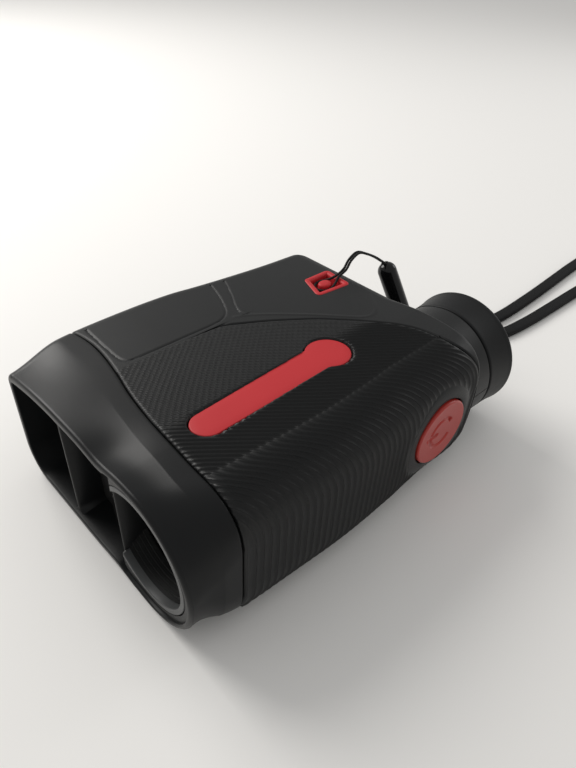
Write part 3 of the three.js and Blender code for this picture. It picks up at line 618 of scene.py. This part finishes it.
# Rows run from the seam or grip edge to the end of the neck
def shellGrid(columns, rows, side):
    centre = np.array([body["axisX"], midZ])
    table = []
    for region, t in columns:
        y0, lean = startOf(region, t)
        b = np.array(ringPoint(region, t, 37.5, 0, 0, side))
        out = b - centre
        away = np.linalg.norm(out)
        n = centre + out / away * body["neckR"]
        d = max(away - body["neckR"], 0.05)
        r1 = min(body["rearRound"], 0.5 * d)
        r2 = min(body["fillet"], 0.45 * d)
        column = [(*ringPoint(region, t, y0, panel["skirt"], 0, side), y0)]
        y1 = body["rearY"] - r1
        y0 = min(y0, y1 - 0.02)
        for k in range(rows + 1):
            y = y0 + (y1 - y0) * (k / rows)
            near = (y - y0) * lean
            inset = panel["edgeDrop"] * max(0.0, 1 - near / panel["edgeRound"]) ** 2
            column.append((*ringPoint(region, t, y, inset, 0, side), y))
        b = np.array(ringPoint(region, t, y1, 0, 0, side))
        toward = n - b
        d = np.linalg.norm(toward)
        toward = toward / max(d, 1e-9)
        for a in np.linspace(0, math.pi / 2, 9)[1:]:
            p = b + toward * r1 * (1 - math.cos(a))
            column.append((*p, y1 + r1 * math.sin(a)))
        for f in np.linspace(0, 1, 10)[1:-1]:
            column.append((*(b + toward * (r1 + (d - r1 - r2) * f)), body["rearY"]))
        for a in np.linspace(0, math.pi / 2, 9):
            p = b + toward * (d - r2 + r2 * math.sin(a))
            column.append((*p, body["rearY"] + r2 * (1 - math.cos(a))))
        column.append((*n, body["neckY"] - 0.35))
        column.append((*(centre + (n - centre) * 0.985), body["neckY"] - 0.05))
        column.append((*(centre + (n - centre) * 0.9), body["neckY"] - 0.05))
        table.append(column)
    count = len(table[0])
    verts = np.array([[table[c][r][0], table[c][r][2], table[c][r][1]] for r in range(count)
                      for c in range(len(table))])
    return verts, count, len(table)


door = {"y": (-6.1, 25.1), "halfZ": 9.3, "columns": {1: 0.735, -1: 0.636}}
underHoles = {"modeButton": (-6, 27, 4.3, 5.3), "screwRear": (-29.6, 31.4, 2.1, 3.1),
              "screwInner": (2.6, 34, 2.1, 3.1), "screwFront": (-33.2, -15.5, 2.1, 3.1)}


# Whether a face lies in the battery doorway or in a hole of the left side
def isOpen(corners, side):
    x, y, z = np.array(corners).T
    doorway = (x < -33).all() and y.min() > door["y"][0] - 0.1 and y.max() < door["y"][1] + 0.1
    if doorway and abs(z - midZ).max() < door["halfZ"] + 0.25:
        return True
    if side > 0 or z.max() > 2.2:
        return False
    return any((np.hypot(x - cx, y - cy) < hole + 0.25).any() for cx, cy, hole, _ in underHoles.values())


# A raised rim round each hole of the left side
def makeRims():
    verts, faces, sides = [], [], 48
    for cx, cy, hole, rim in underHoles.values():
        start = len(verts)
        rings = [(hole, 2.5), (hole, 0.1), (hole + 0.1, 0.0), (rim - 0.1, 0.0), (rim, 0.12)]
        for r, z in rings:
            turns = [2 * math.pi * i / sides for i in range(sides)]
            verts += [(cx + r * math.cos(a), cy + r * math.sin(a), z) for a in turns]
        faces += gridFaces(len(rings), sides, closed=True, start=start)
    meshPiece("underHoleRims", verts, faces, finish["shell"], smoothAngle=50)


def makeHousing(side, name, node):
    verts, faces = [], []
    edge = door["columns"][side]
    doorColumns = [("lowSide", float(t)) for t in (*np.linspace(0, edge, 7), *np.linspace(edge, 1, 4)[1:])]
    blocks = [doorColumns + columnsOf(lowCorner=8, topA=66), columnsOf(topB=120, highCorner=18, highSide=8)]
    for columns in blocks:
        points, rows, count = shellGrid(columns, panel["rows"], side)
        flatCells = np.array([columns[i % count][0] in ("topA", "topB") for i in range(len(points))])
        flatCells &= points[:, 1] < body["rearY"] - body["rearRound"] * 0.2
        drop = engrave(points, side) * flatCells
        points[:, 2] -= side * drop
        faces += gridFaces(rows, count, flip=(side > 0), start=len(verts))
        verts += list(points)
    faces = [face for face in faces if not isOpen([verts[i] for i in face], side)]
    piece = meshPiece(name, verts, faces, finish["shell"])
    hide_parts(node)


# A dark layer under the skins, so that the joints between them look deep
def makeCore():
    regions = dict(lowSide=16, lowCorner=6, topA=20, topB=40, highCorner=12, highSide=8)
    upper = [(r, t, 1) for r, t in columnsOf(**regions)]
    columns = upper + [(r, t, -1) for r, t, _ in upper[::-1]]
    ys = np.linspace(-46, 37.6, 120)
    verts = []
    for y in ys:
        for r, t, side in columns:
            x, z = ringPoint(r, t, y, 1.3, 0, side)
            verts.append((x, y, z))
    well = roundedOutline(eyeCorners, 1.6, -0.6)
    faces = []
    for face in gridFaces(len(ys), len(columns), closed=True):
        corners = np.array([verts[i] for i in face])
        middle = corners.mean(axis=0)
        side = 1 if middle[2] > midZ else -1
        inEye = side > 0 and middle[0] < 0 and insideOf(corners[:, :2], well).any()
        inButton = middle[0] > 33 and math.hypot(middle[1] - buttonY, middle[2] - midZ) < 11
        if not (inEye or inButton or isOpen(corners, side)):
            faces.append(face)
    meshPiece("innerCore", verts, faces, finish["black"])


makeCore()
makeRims()
makeHousing(1, "rightShellSkin", "right_shell")
makeHousing(-1, "leftShellSkin", "left_shell")
print("housing skins made")

# Ribbed grip
grip = {"pitch": 2.0, "perPitch": 8, "depth": 0.5, "dash": 0.95, "edgeRound": 0.5, "edgeDrop": 0.4,
        "landR": 13.2, "badgeGap": 0.3}
badge = {"tail": (14.2, -34.3), "head": (12.65, 4.8), "tailR": 4.08, "headR": 6.0, "thick": 1.0, "sink": 0.3}


# Signed distance to the badge outline: a round-ended bar with a larger round head
def pillDistance(xy):
    a, b = np.array(badge["tail"]), np.array(badge["head"])
    ab = b - a
    t = np.clip(((xy - a) @ ab) / (ab @ ab), 0, 1)
    bar = np.linalg.norm(xy - (a + t[:, None] * ab), axis=1) - badge["tailR"]
    head = np.linalg.norm(xy - b, axis=1) - badge["headR"]
    blend = np.clip(0.5 + 0.5 * (bar - head) / 0.7, 0, 1)
    return bar * (1 - blend) + head * blend - 0.7 * blend * (1 - blend)


# How far a rib runs back along Y at distance s from the middle of the top side
def ribLead(s):
    grid = np.linspace(0, 80, 801)
    slope = 1.3 * ease(5, 27, grid) - 0.3 * ease(34, 60, grid)
    lead = np.concatenate([[0], np.cumsum((slope[1:] + slope[:-1]) / 2 * np.diff(grid))])
    return np.interp(s, grid, lead)


def gripColumns(side, fine):
    out = []
    if fine:
        spans = ((0, 0.45, 0.27 / 46), (0.45, 0.78, 0.22 / 46), (0.78, 1.0, 0.5 / 46))  # finest by the badge
        xs = [x for span in spans for x in np.arange(*span)]
    else:
        xs = list(np.arange(0, 1.0, 0.55 / 46))
    out += [("topB", float(x), side) for x in xs]
    out += [("highCorner", float(t), side) for t in np.linspace(0, 1, 20)]
    out += [("highSide", float(t), side) for t in np.linspace(0, 1, 14)[1:]]
    return out


def makeGrip():
    columns = gripColumns(1, True) + gripColumns(-1, False)[::-1]
    half = midZ - body["highRound"]
    arc = body["highRound"] * math.pi / 2
    starts, ends, leads, leans = [], [], [], []
    for region, t, side in columns:
        x = ringPoint(region, t, 0)[0]
        if region == "topB":
            s = half + arc + (27.7 - x)
            lean = leanOf(x)
            rear = along(gripEdge, x) - body["gap"] / 2 / lean
        elif region == "highCorner":
            s = half + arc * (1 - t)
            rear, lean = sideJoint(t) - 0.15, 1.0
        else:
            s = half * (1 - t)
            rear, lean = sideJointY - 0.15, 1.0
        starts.append(along(seamLine, x) + body["gap"] / 2)
        ends.append(rear)
        leads.append(float(ribLead(s)))
        leans.append(lean)
    step = grip["pitch"] / grip["perPitch"]
    first = int(math.floor(min(starts) / step)) - 2
    last = int(math.ceil((max(ends) + max(leads)) / step)) + 2
    count = len(columns)
    verts, phase = [], []
    rows = [None] + list(range(first, last + 1)) + [None]
    for r, j in enumerate(rows):
        for c, (region, t, side) in enumerate(columns):
            if j is None:
                y = starts[c] if r == 0 else ends[c]
                x, z = ringPoint(region, t, y, panel["skirt"], 0, side)
            else:
                y = min(max(j * step - leads[c], starts[c]), ends[c])
                near = min(y - starts[c], (ends[c] - y) * leans[c])
                inset = grip["edgeDrop"] * max(0.0, 1 - near / grip["edgeRound"]) ** 2
                x, z = ringPoint(region, t, y, inset, 0, side)
            verts.append((x, y, z))
            phase.append(((j or 0) * step) / grip["pitch"])
    points = np.array(verts)
    phase = np.array(phase)
    flat = np.array([columns[i % count][0] == "topB" for i in range(len(points))])
    upper = np.array([columns[i % count][2] > 0 for i in range(len(points))])
    toSeam = points[:, 1] - np.array([starts[i % count] for i in range(len(points))])
    toRear = (np.array([ends[i % count] for i in range(len(points))]) - points[:, 1]) * np.array(
        [leans[i % count] for i in range(len(points))])
    mask = ease(0.1, 0.9, toSeam) * ease(0.2, 1.4, toRear)
    pill = pillDistance(points[:, :2])
    nearBadge = np.where(flat, ease(grip["badgeGap"], grip["badgeGap"] + 0.7, pill), 1)
    mask = mask * nearBadge
    fromButton = np.hypot(points[:, 1] - buttonY, points[:, 2] - midZ)
    onSide = points[:, 0] > 33
    mask = mask * np.where(onSide, ease(grip["landR"] - 0.6, grip["landR"] + 2.2, fromButton), 1)
    woven = np.where(flat & upper, 1 - ease(7, 13, points[:, 0]), 0)
    across = points[:, 0] / grip["dash"]
    sink = np.where(flat & (pill < grip["badgeGap"]), 1.6, 0)
    points[:, 2] -= np.where(upper, 1, -1) * sink
    hole = onSide & (fromButton < 11.5)  # dips under the land round the button
    points[:, 0] -= np.where(hole, 2.2, 0)
    faces = gridFaces(len(rows), count, flip=True)
    mesh = bpy.data.meshes.new("grip base")
    mesh.from_pydata([tuple(p * mm) for p in points], [], faces)
    carried = {"ribPhase": phase, "ribMask": mask * (1 - woven), "weave": mask * woven, "across": across}
    for label, values in carried.items():
        attribute = mesh.attributes.new(label, "FLOAT", "POINT")
        attribute.data.foreach_set("value", np.asarray(values, np.float32))
    bm = bmesh.new()
    bm.from_mesh(mesh)
    bmesh.ops.remove_doubles(bm, verts=bm.verts, dist=2e-6)
    bmesh.ops.dissolve_degenerate(bm, edges=bm.edges, dist=2e-6)
    bm.to_mesh(mesh)
    bm.free()
    base = bpy.data.objects.new("grip base", mesh)
    bpy.context.scene.collection.objects.link(base)
    piece = throughTree(base, ribTree(), "rubberGripSkin", {"Rib Depth": grip["depth"] * mm})
    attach(piece, "housing")
    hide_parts("rubber_grip")
    print("grip ribbed:", len(piece.data.polygons), "faces")


# Runs a Geometry Nodes tree on base and keeps the result as a plain mesh
def throughTree(base, tree, name, values):
    modifier = base.modifiers.new("nodes", "NODES")
    modifier.node_group = tree
    for item in tree.interface.items_tree:
        if item.item_type == "SOCKET" and item.in_out == "INPUT" and item.name in values:
            modifier[item.identifier] = values[item.name]
    graph = bpy.context.evaluated_depsgraph_get()
    graph.update()
    mesh = bpy.data.meshes.new_from_object(base.evaluated_get(graph))
    piece = bpy.data.objects.new(name, mesh)
    bpy.context.scene.collection.objects.link(piece)
    bpy.data.objects.remove(base)
    return piece


# Moves each point in along its normal: deepest in the groove between two ribs
def ribTree():
    tree = bpy.data.node_groups.new("ribs", "GeometryNodeTree")
    tree.interface.new_socket(name="Geometry", in_out="INPUT", socket_type="NodeSocketGeometry")
    tree.interface.new_socket(name="Rib Depth", in_out="INPUT", socket_type="NodeSocketFloat")
    tree.interface.new_socket(name="Geometry", in_out="OUTPUT", socket_type="NodeSocketGeometry")
    add, join = tree.nodes.new, tree.links.new
    into, out = add("NodeGroupInput"), add("NodeGroupOutput")

    def named(label):
        node = add("GeometryNodeInputNamedAttribute")
        node.data_type = "FLOAT"
        node.inputs["Name"].default_value = label
        return node.outputs["Attribute"]

    def math2(operation, a, b=None, c=None):
        node = add("ShaderNodeMath")
        node.operation = operation
        for socket, value in zip(node.inputs, (a, b, c)):
            if isinstance(value, (int, float)):
                socket.default_value = value
            elif value is not None:
                join(value, socket)
        return node.outputs[0]

    wave = math2("ABSOLUTE", math2("SINE", math2("MULTIPLY", named("ribPhase"), math.pi)))
    height = math2("SUBTRACT", math2("POWER", wave, 0.55), 1.0)
    height = math2("MULTIPLY", height, named("ribMask"))
    height = math2("MULTIPLY", height, into.outputs["Rib Depth"])
    normal = add("GeometryNodeInputNormal")
    scale = add("ShaderNodeVectorMath")
    scale.operation = "SCALE"
    join(normal.outputs[0], scale.inputs[0])
    join(height, scale.inputs["Scale"])
    move = add("GeometryNodeSetPosition")
    join(into.outputs["Geometry"], move.inputs["Geometry"])
    join(scale.outputs[0], move.inputs["Offset"])
    smooth = add("GeometryNodeSetShadeSmooth")
    join(move.outputs[0], smooth.inputs["Geometry"])
    real = add("GeometryNodeRealizeInstances")
    join(smooth.outputs[0], real.inputs[0])
    paint = add("GeometryNodeSetMaterial")
    paint.inputs["Material"].default_value = finish["rubber"]
    join(real.outputs[0], paint.inputs["Geometry"])
    join(paint.outputs[0], out.inputs[0])
    return tree


makeGrip()


# A red bar with a round head, edges rounded over, sunk in its pocket
def makeBadge(side, name, node):
    a, b = np.array(badge["tail"]), np.array(badge["head"])
    lean = math.atan2(b[0] - a[0], b[1] - a[1])

    def outline(inset):
        headR, tailR = badge["headR"] - inset, badge["tailR"] - inset
        spread = math.asin(tailR / headR)
        out = []
        for t in np.linspace(0, 1, 72):
            w = lean - math.pi + spread + 0.16 + (2 * math.pi - 2 * spread - 0.32) * t
            out.append((b[0] + headR * math.sin(w), b[1] + headR * math.cos(w)))
        for t in np.linspace(0, 1, 40):
            w = lean + math.pi / 2 + math.pi * t
            out.append((a[0] + tailR * math.sin(w), a[1] + tailR * math.cos(w)))
        return out[::-1]

    verts = []
    rings = [(0, -badge["thick"]), (0, -0.3), (0.06, -0.12), (0.18, -0.03), (0.34, 0), (2.2, 0.0)]
    for inset, z in rings:
        for x, y in outline(inset):
            level = (topZ(x) if side > 0 else 0) - side * badge["sink"] + side * z
            verts.append((x, y, level))
    count = len(outline(0))
    faces = gridFaces(len(rings), count, closed=True, flip=(side < 0))
    cap = tuple((len(rings) - 1) * count + k for k in range(count))
    faces.append(cap if side > 0 else cap[::-1])
    piece = meshPiece(name, verts, faces, finish["red"], smoothAngle=50)
    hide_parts(node)


makeBadge(1, "rightBadgeFace", "right_badge")
makeBadge(-1, "leftBadgeFace", "left_badge")
print("badges made")

# Front bezel
bezel = {"wall": 2.1, "roundWall": 1.4, "lip": 0.85, "back": -49.9, "innerRound": 0.4,
         "septa": {"apertureWallLow": (-11.0, -57.1, 0.9), "apertureWallHigh": (10.7, -56.6, 0.7)},
         "flare": 1.5, "flareLong": 2.4}
creaseLine = [(-40, -46), (-10, -46), (0, -47.2), (10, -48.3), (20, -49), (27, -49.5), (40, -49.6)]


# A point of the bezel; u runs from 0 at the seam to 1 at the start of the lip
def bezelPoint(region, t, u, side):
    x0 = ringPoint(region, t, -44, 0, 0, side)[0]
    seam = along(seamLine, x0) - body["gap"] / 2
    y = seam + (body["frontY"] + bezel["lip"] - seam) * u
    front = 1 - float(ease(-58.4, -43, y))
    crease = along(creaseLine, x0)
    strong = float(ease(-14, 20, x0))
    v = (crease - y) / (crease - (body["frontY"] + bezel["lip"]))
    dip = 0.5 * strong * math.sin(math.pi * min(1, max(0, v))) ** 0.9 if 0 < v < 1 else 0.0
    near = y - seam
    drop = panel["edgeDrop"] * max(0.0, 1 + near / panel["edgeRound"]) ** 2
    x, z = ringPoint(region, t, y, dip + drop, front, side)
    return x, y, z


def makeBezel():
    regions = dict(lowSide=10, lowCorner=14, topA=50, topB=90, highCorner=34, highSide=10)
    upper = [(r, t, 1) for r, t in columnsOf(**regions)]
    lower = [(r, t, -1) for r, t in columnsOf(**regions)][::-1]
    columns = upper + lower
    us = np.linspace(0, 1, 90)
    rows = [[ringSeat(r, t, s, panel["skirt"]) for r, t, s in columns]]
    for u in us:
        rows.append([bezelPoint(r, t, u, s) for r, t, s in columns])
    lip = bezel["lip"]

    def wallAt(x):
        return bezel["wall"] + (bezel["roundWall"] - bezel["wall"]) * float(ease(9, 12, x))

    def ringRow(insetOf, y):
        out = []
        for r, t, s in columns:
            x0 = ringPoint(r, t, body["frontY"], 0, 1, s)[0]
            x, z = ringPoint(r, t, min(y, -57.3), insetOf(x0), 1, s)
            out.append((x, y, z))
        return out

    for a in np.linspace(0, math.pi / 2, 6)[1:]:
        y = body["frontY"] + lip - lip * math.sin(a)
        rows.append(ringRow(lambda x, a=a: lip * (1 - math.cos(a)), y))
    inner = bezel["innerRound"]
    rows.append(ringRow(lambda x: wallAt(x) - inner, body["frontY"]))
    for a in np.linspace(0, math.pi / 2, 5)[1:]:
        y = body["frontY"] + inner * (1 - math.cos(a))
        rows.append(ringRow(lambda x, a=a: wallAt(x) - inner * (1 - math.sin(a)), y))
    for y in (-56, -54, -52, bezel["back"]):
        rows.append(ringRow(lambda x, y=y: wallAt(x) + 0.06 * (y + 57.6), y))
    verts = [p for row in rows for p in row]
    faces = gridFaces(len(rows), len(columns), closed=True, flip=False)
    piece = meshPiece("bezelSkin", verts, faces, finish["bezel"], smoothAngle=50)
    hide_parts("front_bezel")


def ringSeat(region, t, side, inset):
    x0 = ringPoint(region, t, -44, 0, 0, side)[0]
    seam = along(seamLine, x0) - body["gap"] / 2
    x, z = ringPoint(region, t, seam, inset, 0, side)
    return x, seam, z


makeBezel()


# A thin wall between two apertures, widening where it meets the rim
def makeSeptum(x, name, front, thick):
    into = bezel["wall"] - 0.2
    low = 0.6 * waistAt(x) + into
    high = topZ(x) - waistAt(x) - 4 * max(0, (-x - 10) / 26) ** 2 - into
    verts, count = [], 40
    for y, grow in ((bezel["back"], 0.0), (front + 0.25, 0.0), (front, -0.25)):
        for s in (-1, 1):
            for k in range(count + 1):
                z = low + (high - low) * k / count
                end = min(z - low, high - z)
                flare = bezel["flare"] * max(0.0, 1 - end / bezel["flareLong"]) ** 2.2
                verts.append((x + s * max(0.08, thick / 2 + grow + flare), y, z))
    n = count + 1
    faces = []
    for layer in range(2):
        for s in range(2):
            base = layer * 2 * n + s * n
            for k in range(count):
                quad = (base + k, base + k + 1, base + 2 * n + k + 1, base + 2 * n + k)
                faces.append(quad if s else quad[::-1])
    base = 4 * n
    for k in range(count):
        faces.append((base + k, base + k + 1, base + n + k + 1, base + n + k)[::-1])
    return meshPiece(name, verts, faces, finish["bezel"], smoothAngle=50)


for name, (x, front, thick) in bezel["septa"].items():
    makeSeptum(x, name, front, thick)


# A turned piece about the objective axis, cut off flat at cutX
def halfTurned(profile, name, material, cutX, node=None, sides=160):
    verts, faces = turnedMesh(profile, (body["axisX"], 0, midZ), sides=sides, closed=True)
    piece = meshPiece(name, verts, faces, material, smoothAngle=35)
    if cutX is not None:
        bm = bmesh.new()
        bm.from_mesh(piece.data)
        everything = bm.verts[:] + bm.edges[:] + bm.faces[:]
        cut = bmesh.ops.bisect_plane(bm, geom=everything, plane_co=(cutX * mm, 0, 0), plane_no=(-1, 0, 0),
                                     clear_outer=True)
        edges = [e for e in cut["geom_cut"] if isinstance(e, bmesh.types.BMEdge)]
        bmesh.ops.holes_fill(bm, edges=edges)
        bm.to_mesh(piece.data)
        bm.free()
    if node:
        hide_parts(node)
    return piece


surround = [(17.6, -57.25), (15.72, -57.25), (15.6, -57.1), (15.6, -50.2), (17.6, -50.2)]
halfTurned(surround, "objectiveSurround",
           finish["bezel"], 11.1)
halfTurned([(15.4, -57.15), (15.25, -57.3), (14.2, -57.3), (14.05, -57.15), (13.9, -56.2), (13.9, -50.2),
            (15.4, -50.2)], "objectiveRingTurned", finish["ring"], 11.1, "objective_ring")
barrelSteps = [(13.85, -50.4), (13.85, -55.4), (13.5, -55.6), (13.5, -54.6), (13.1, -54.5), (13.1, -53.6),
               (12.7, -53.5), (12.7, -52.6), (12.3, -52.5), (12.3, -51.6), (11.9, -51.5), (11.9, -50.4)]
halfTurned(barrelSteps, "barrelBaffles", finish["black"], None)
print("bezel made")

# Button, eyecup, eye
button = {"y": buttonY, "r": 9.6, "top": 40.2, "base": 36.6, "round": 0.55, "markR": 4.3, "markWide": 0.55,
          "markDeep": 0.45, "holeR": 9.95, "landR": 13.3}


# A round face with a shallow dish and a sunk power mark
def makeButton():
    radii = list(np.linspace(0.05, button["r"] - button["round"], 60))
    verts, sides = [], 180
    for r in radii:
        for i in range(sides):
            a = 2 * math.pi * i / sides
            y, z = r * math.cos(a), r * math.sin(a)
            ring = abs(r - button["markR"])
            opening = abs((a - math.pi + math.pi) % (2 * math.pi) - math.pi)
            d = ring if opening < math.pi - 0.55 else 9
            bar = math.hypot(z, max(0.0, -y - 5.6, y + 1.6)) if y < 0 else math.hypot(z, y + 1.6)
            d = min(d, bar)
            mark = math.exp(-((d / button["markWide"]) ** 4))
            dish = 0.35 * (1 - (r / button["r"]) ** 2)
            verts.append((button["top"] - dish - button["markDeep"] * mark, button["y"] + y, midZ + z))
    soft = button["round"]
    edge = [(button["r"] - soft * (1 - math.sin(a)), button["top"] - soft * (1 - math.cos(a)))
            for a in np.linspace(0, math.pi / 2, 7)[1:]]
    edge.append((button["r"], button["base"]))
    for r, x in edge:
        turns = [2 * math.pi * i / sides for i in range(sides)]
        verts += [(x, button["y"] + r * math.cos(a), midZ + r * math.sin(a)) for a in turns]
    count = len(radii) + len(edge)
    faces = gridFaces(count, sides, closed=True, flip=True)
    faces.append(tuple(range(sides)))
    faces.append(tuple((count - 1) * sides + k for k in range(sides))[::-1])
    piece = meshPiece("powerButtonFace", verts, faces, finish["button"], body="power_button",
                      smoothAngle=60)
    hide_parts("power_button")


# The smooth land round the button, following the side of the body
def makeLand():
    def sideX(y, z):
        high = along(highEdge, y)
        over = max(0.0, abs(z - midZ) - (midZ - body["highRound"]))
        r = body["highRound"]
        return high - r + r * (1 - min(1.0, over / r) ** 2.5) ** 0.4

    verts, sides = [], 160
    rings = [(button["holeR"], -3.2), (button["holeR"], -0.3), (button["holeR"] + 0.12, -0.02),
             (button["holeR"] + 0.35, 0.1), (11.4, 0.16), (12.6, 0.12), (button["landR"], 0.02),
             (13.8, -0.25),
             (14.1, -0.9)]
    for r, lift in rings:
        for i in range(sides):
            a = 2 * math.pi * i / sides
            y, z = button["y"] + r * math.cos(a), midZ + r * math.sin(a)
            base = 35.1 if lift < -3 else sideX(y, z) + lift
            verts.append((base, y, z))
    faces = gridFaces(len(rings), sides, closed=True)
    meshPiece("buttonLand", verts, faces, finish["shell"], smoothAngle=50)
    well = [(button["holeR"] + 0.3, 35.2), (0.01, 35.2)]
    verts, faces = turnedMesh(well, (0, button["y"], midZ), axis="x", sides=96)
    meshPiece("buttonWell", verts, faces, finish["black"])


makeButton()
makeLand()

def makeEyecup():
    profile = [(15.9, 47.75), (16.85, 47.75), (17.05, 47.95)]
    for t in np.linspace(0, 1, 14):
        y = 48.4 + (56.6 - 48.4) * t
        profile.append((17.08 + 0.62 * t ** 1.8, y))
    profile += [(17.84, 57.1), (17.85, 57.5), (17.75, 57.8), (17.5, 57.97), (17.1, 58.0), (16.7, 57.9),
                (16.3, 57.6), (15.4, 56.9), (14.2, 56.45), (13.0, 56.2), (12.6, 56.05), (12.4, 55.8),
                (12.4, 55.5), (14.6, 55.4), (15.9, 55.3)]
    verts, faces = turnedMesh(profile, (body["axisX"], 0, midZ), sides=160, closed=True)
    piece = meshPiece("eyecupRubber", verts, faces, finish["cup"], body="diopter", smoothAngle=50)
    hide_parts("eyecup")


makeEyecup()


# A four-cornered frame with a rounded border, a well and an oval post
def makeEye():
    rings = [(0.0, -3.5), (0.0, -0.35), (0.08, -0.12), (0.25, 0.1), (0.6, 0.22), (1.2, 0.22),
             (1.55, 0.12),
             (1.75, -0.1), (1.85, -0.4), (2.0, -3.2), (3.2, -3.3)]
    verts = []
    for inset, z in rings:
        for x, y in roundedOutline(eyeCorners, 1.6, inset):
            verts.append((x, y, topZ(x) + z))
    count = len(roundedOutline(eyeCorners, 1.6, 0))
    faces = gridFaces(len(rings), count, closed=True)
    faces.append(tuple((len(rings) - 1) * count + k for k in range(count)))
    base = len(verts)
    sides = 48
    post = [(1.0, -3.3), (1.0, -0.7), (0.96, -0.35), (0.8, -0.12), (0.5, -0.02), (0.02, 0.0)]
    for f, z in post:
        for i in range(sides):
            a = 2 * math.pi * i / sides
            verts.append((-13.3 + 1.75 * f * math.cos(a), 30.2 + 2.3 * f * math.sin(a), topZ(-13.3) + z))
    faces += gridFaces(len(post), sides, closed=True, start=base)
    piece = meshPiece("lanyardEyeFrame", verts, faces, finish["red"], smoothAngle=55)
    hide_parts("lanyard_eye")


makeEye()
print("button, eyecup and lanyard eye made")

# Pieces whose CAD shape is kept
kept = {
    "black": ["optical_frame", "front_mask", "objective_barrel", "objective_retainer", "receiver_tube",
              "emitter_tube", "prism_holder", "ocular_barrel", "ocular_retainer", "diopter_ring",
              "battery_cradle"],
    "glass": ["objective_lens", "receiver_lens", "emitter_lens", "roof_prism", "compensating_prism",
              "display_glass", "eye_lens", "field_lens"],
    "steel": ["power_switch", "positive_contact", "battery_spring", "door_pin"]
             + [f"{kind}_screw_{i}" for kind in ("housing", "board") for i in range(1, 5)],
    "brass": ["laser_diode"],
    "board": ["receiver_board", "main_board", "mode_switch"],
    "cell": ["battery"],
    "shell": ["battery_door"],
    "cup": ["button_seal", "mode_button"],
}
for key, names in kept.items():
    for name in names:
        slots = nodes[name].material_slots
        if not slots:
            nodes[name].data.materials.append(finish[key])
        for entry in slots:
            entry.material = finish[key]
print("kept pieces finished")


# Floor, world and lamps
def makeStage():
    bpy.ops.mesh.primitive_plane_add(size=6, location=(0, 0, -0.0001))
    floor = bpy.context.object
    floor.name = "floor"
    material = bpy.data.materials.new("pale floor")
    material.use_nodes = True
    shader = material.node_tree.nodes["Principled BSDF"]
    shader.inputs["Base Color"].default_value = (*light["floor"], 1)
    shader.inputs["Roughness"].default_value = 0.7
    floor.data.materials.append(material)
    world = bpy.data.worlds.new("studio")
    world.use_nodes = True
    bpy.context.scene.world = world
    world.node_tree.nodes["Background"].inputs["Color"].default_value = (1, 0.995, 0.985, 1)
    world.node_tree.nodes["Background"].inputs["Strength"].default_value = light["world"]
    areaLamp("keyLamp", light["keyPlace"], light["keySize"], light["key"], (1, 0.98, 0.95))
    areaLamp("rimLamp", light["rimPlace"], light["rimSize"], light["rim"])
    bpy.context.scene.view_settings.view_transform = "Standard"
    print("stage set")


makeStage()
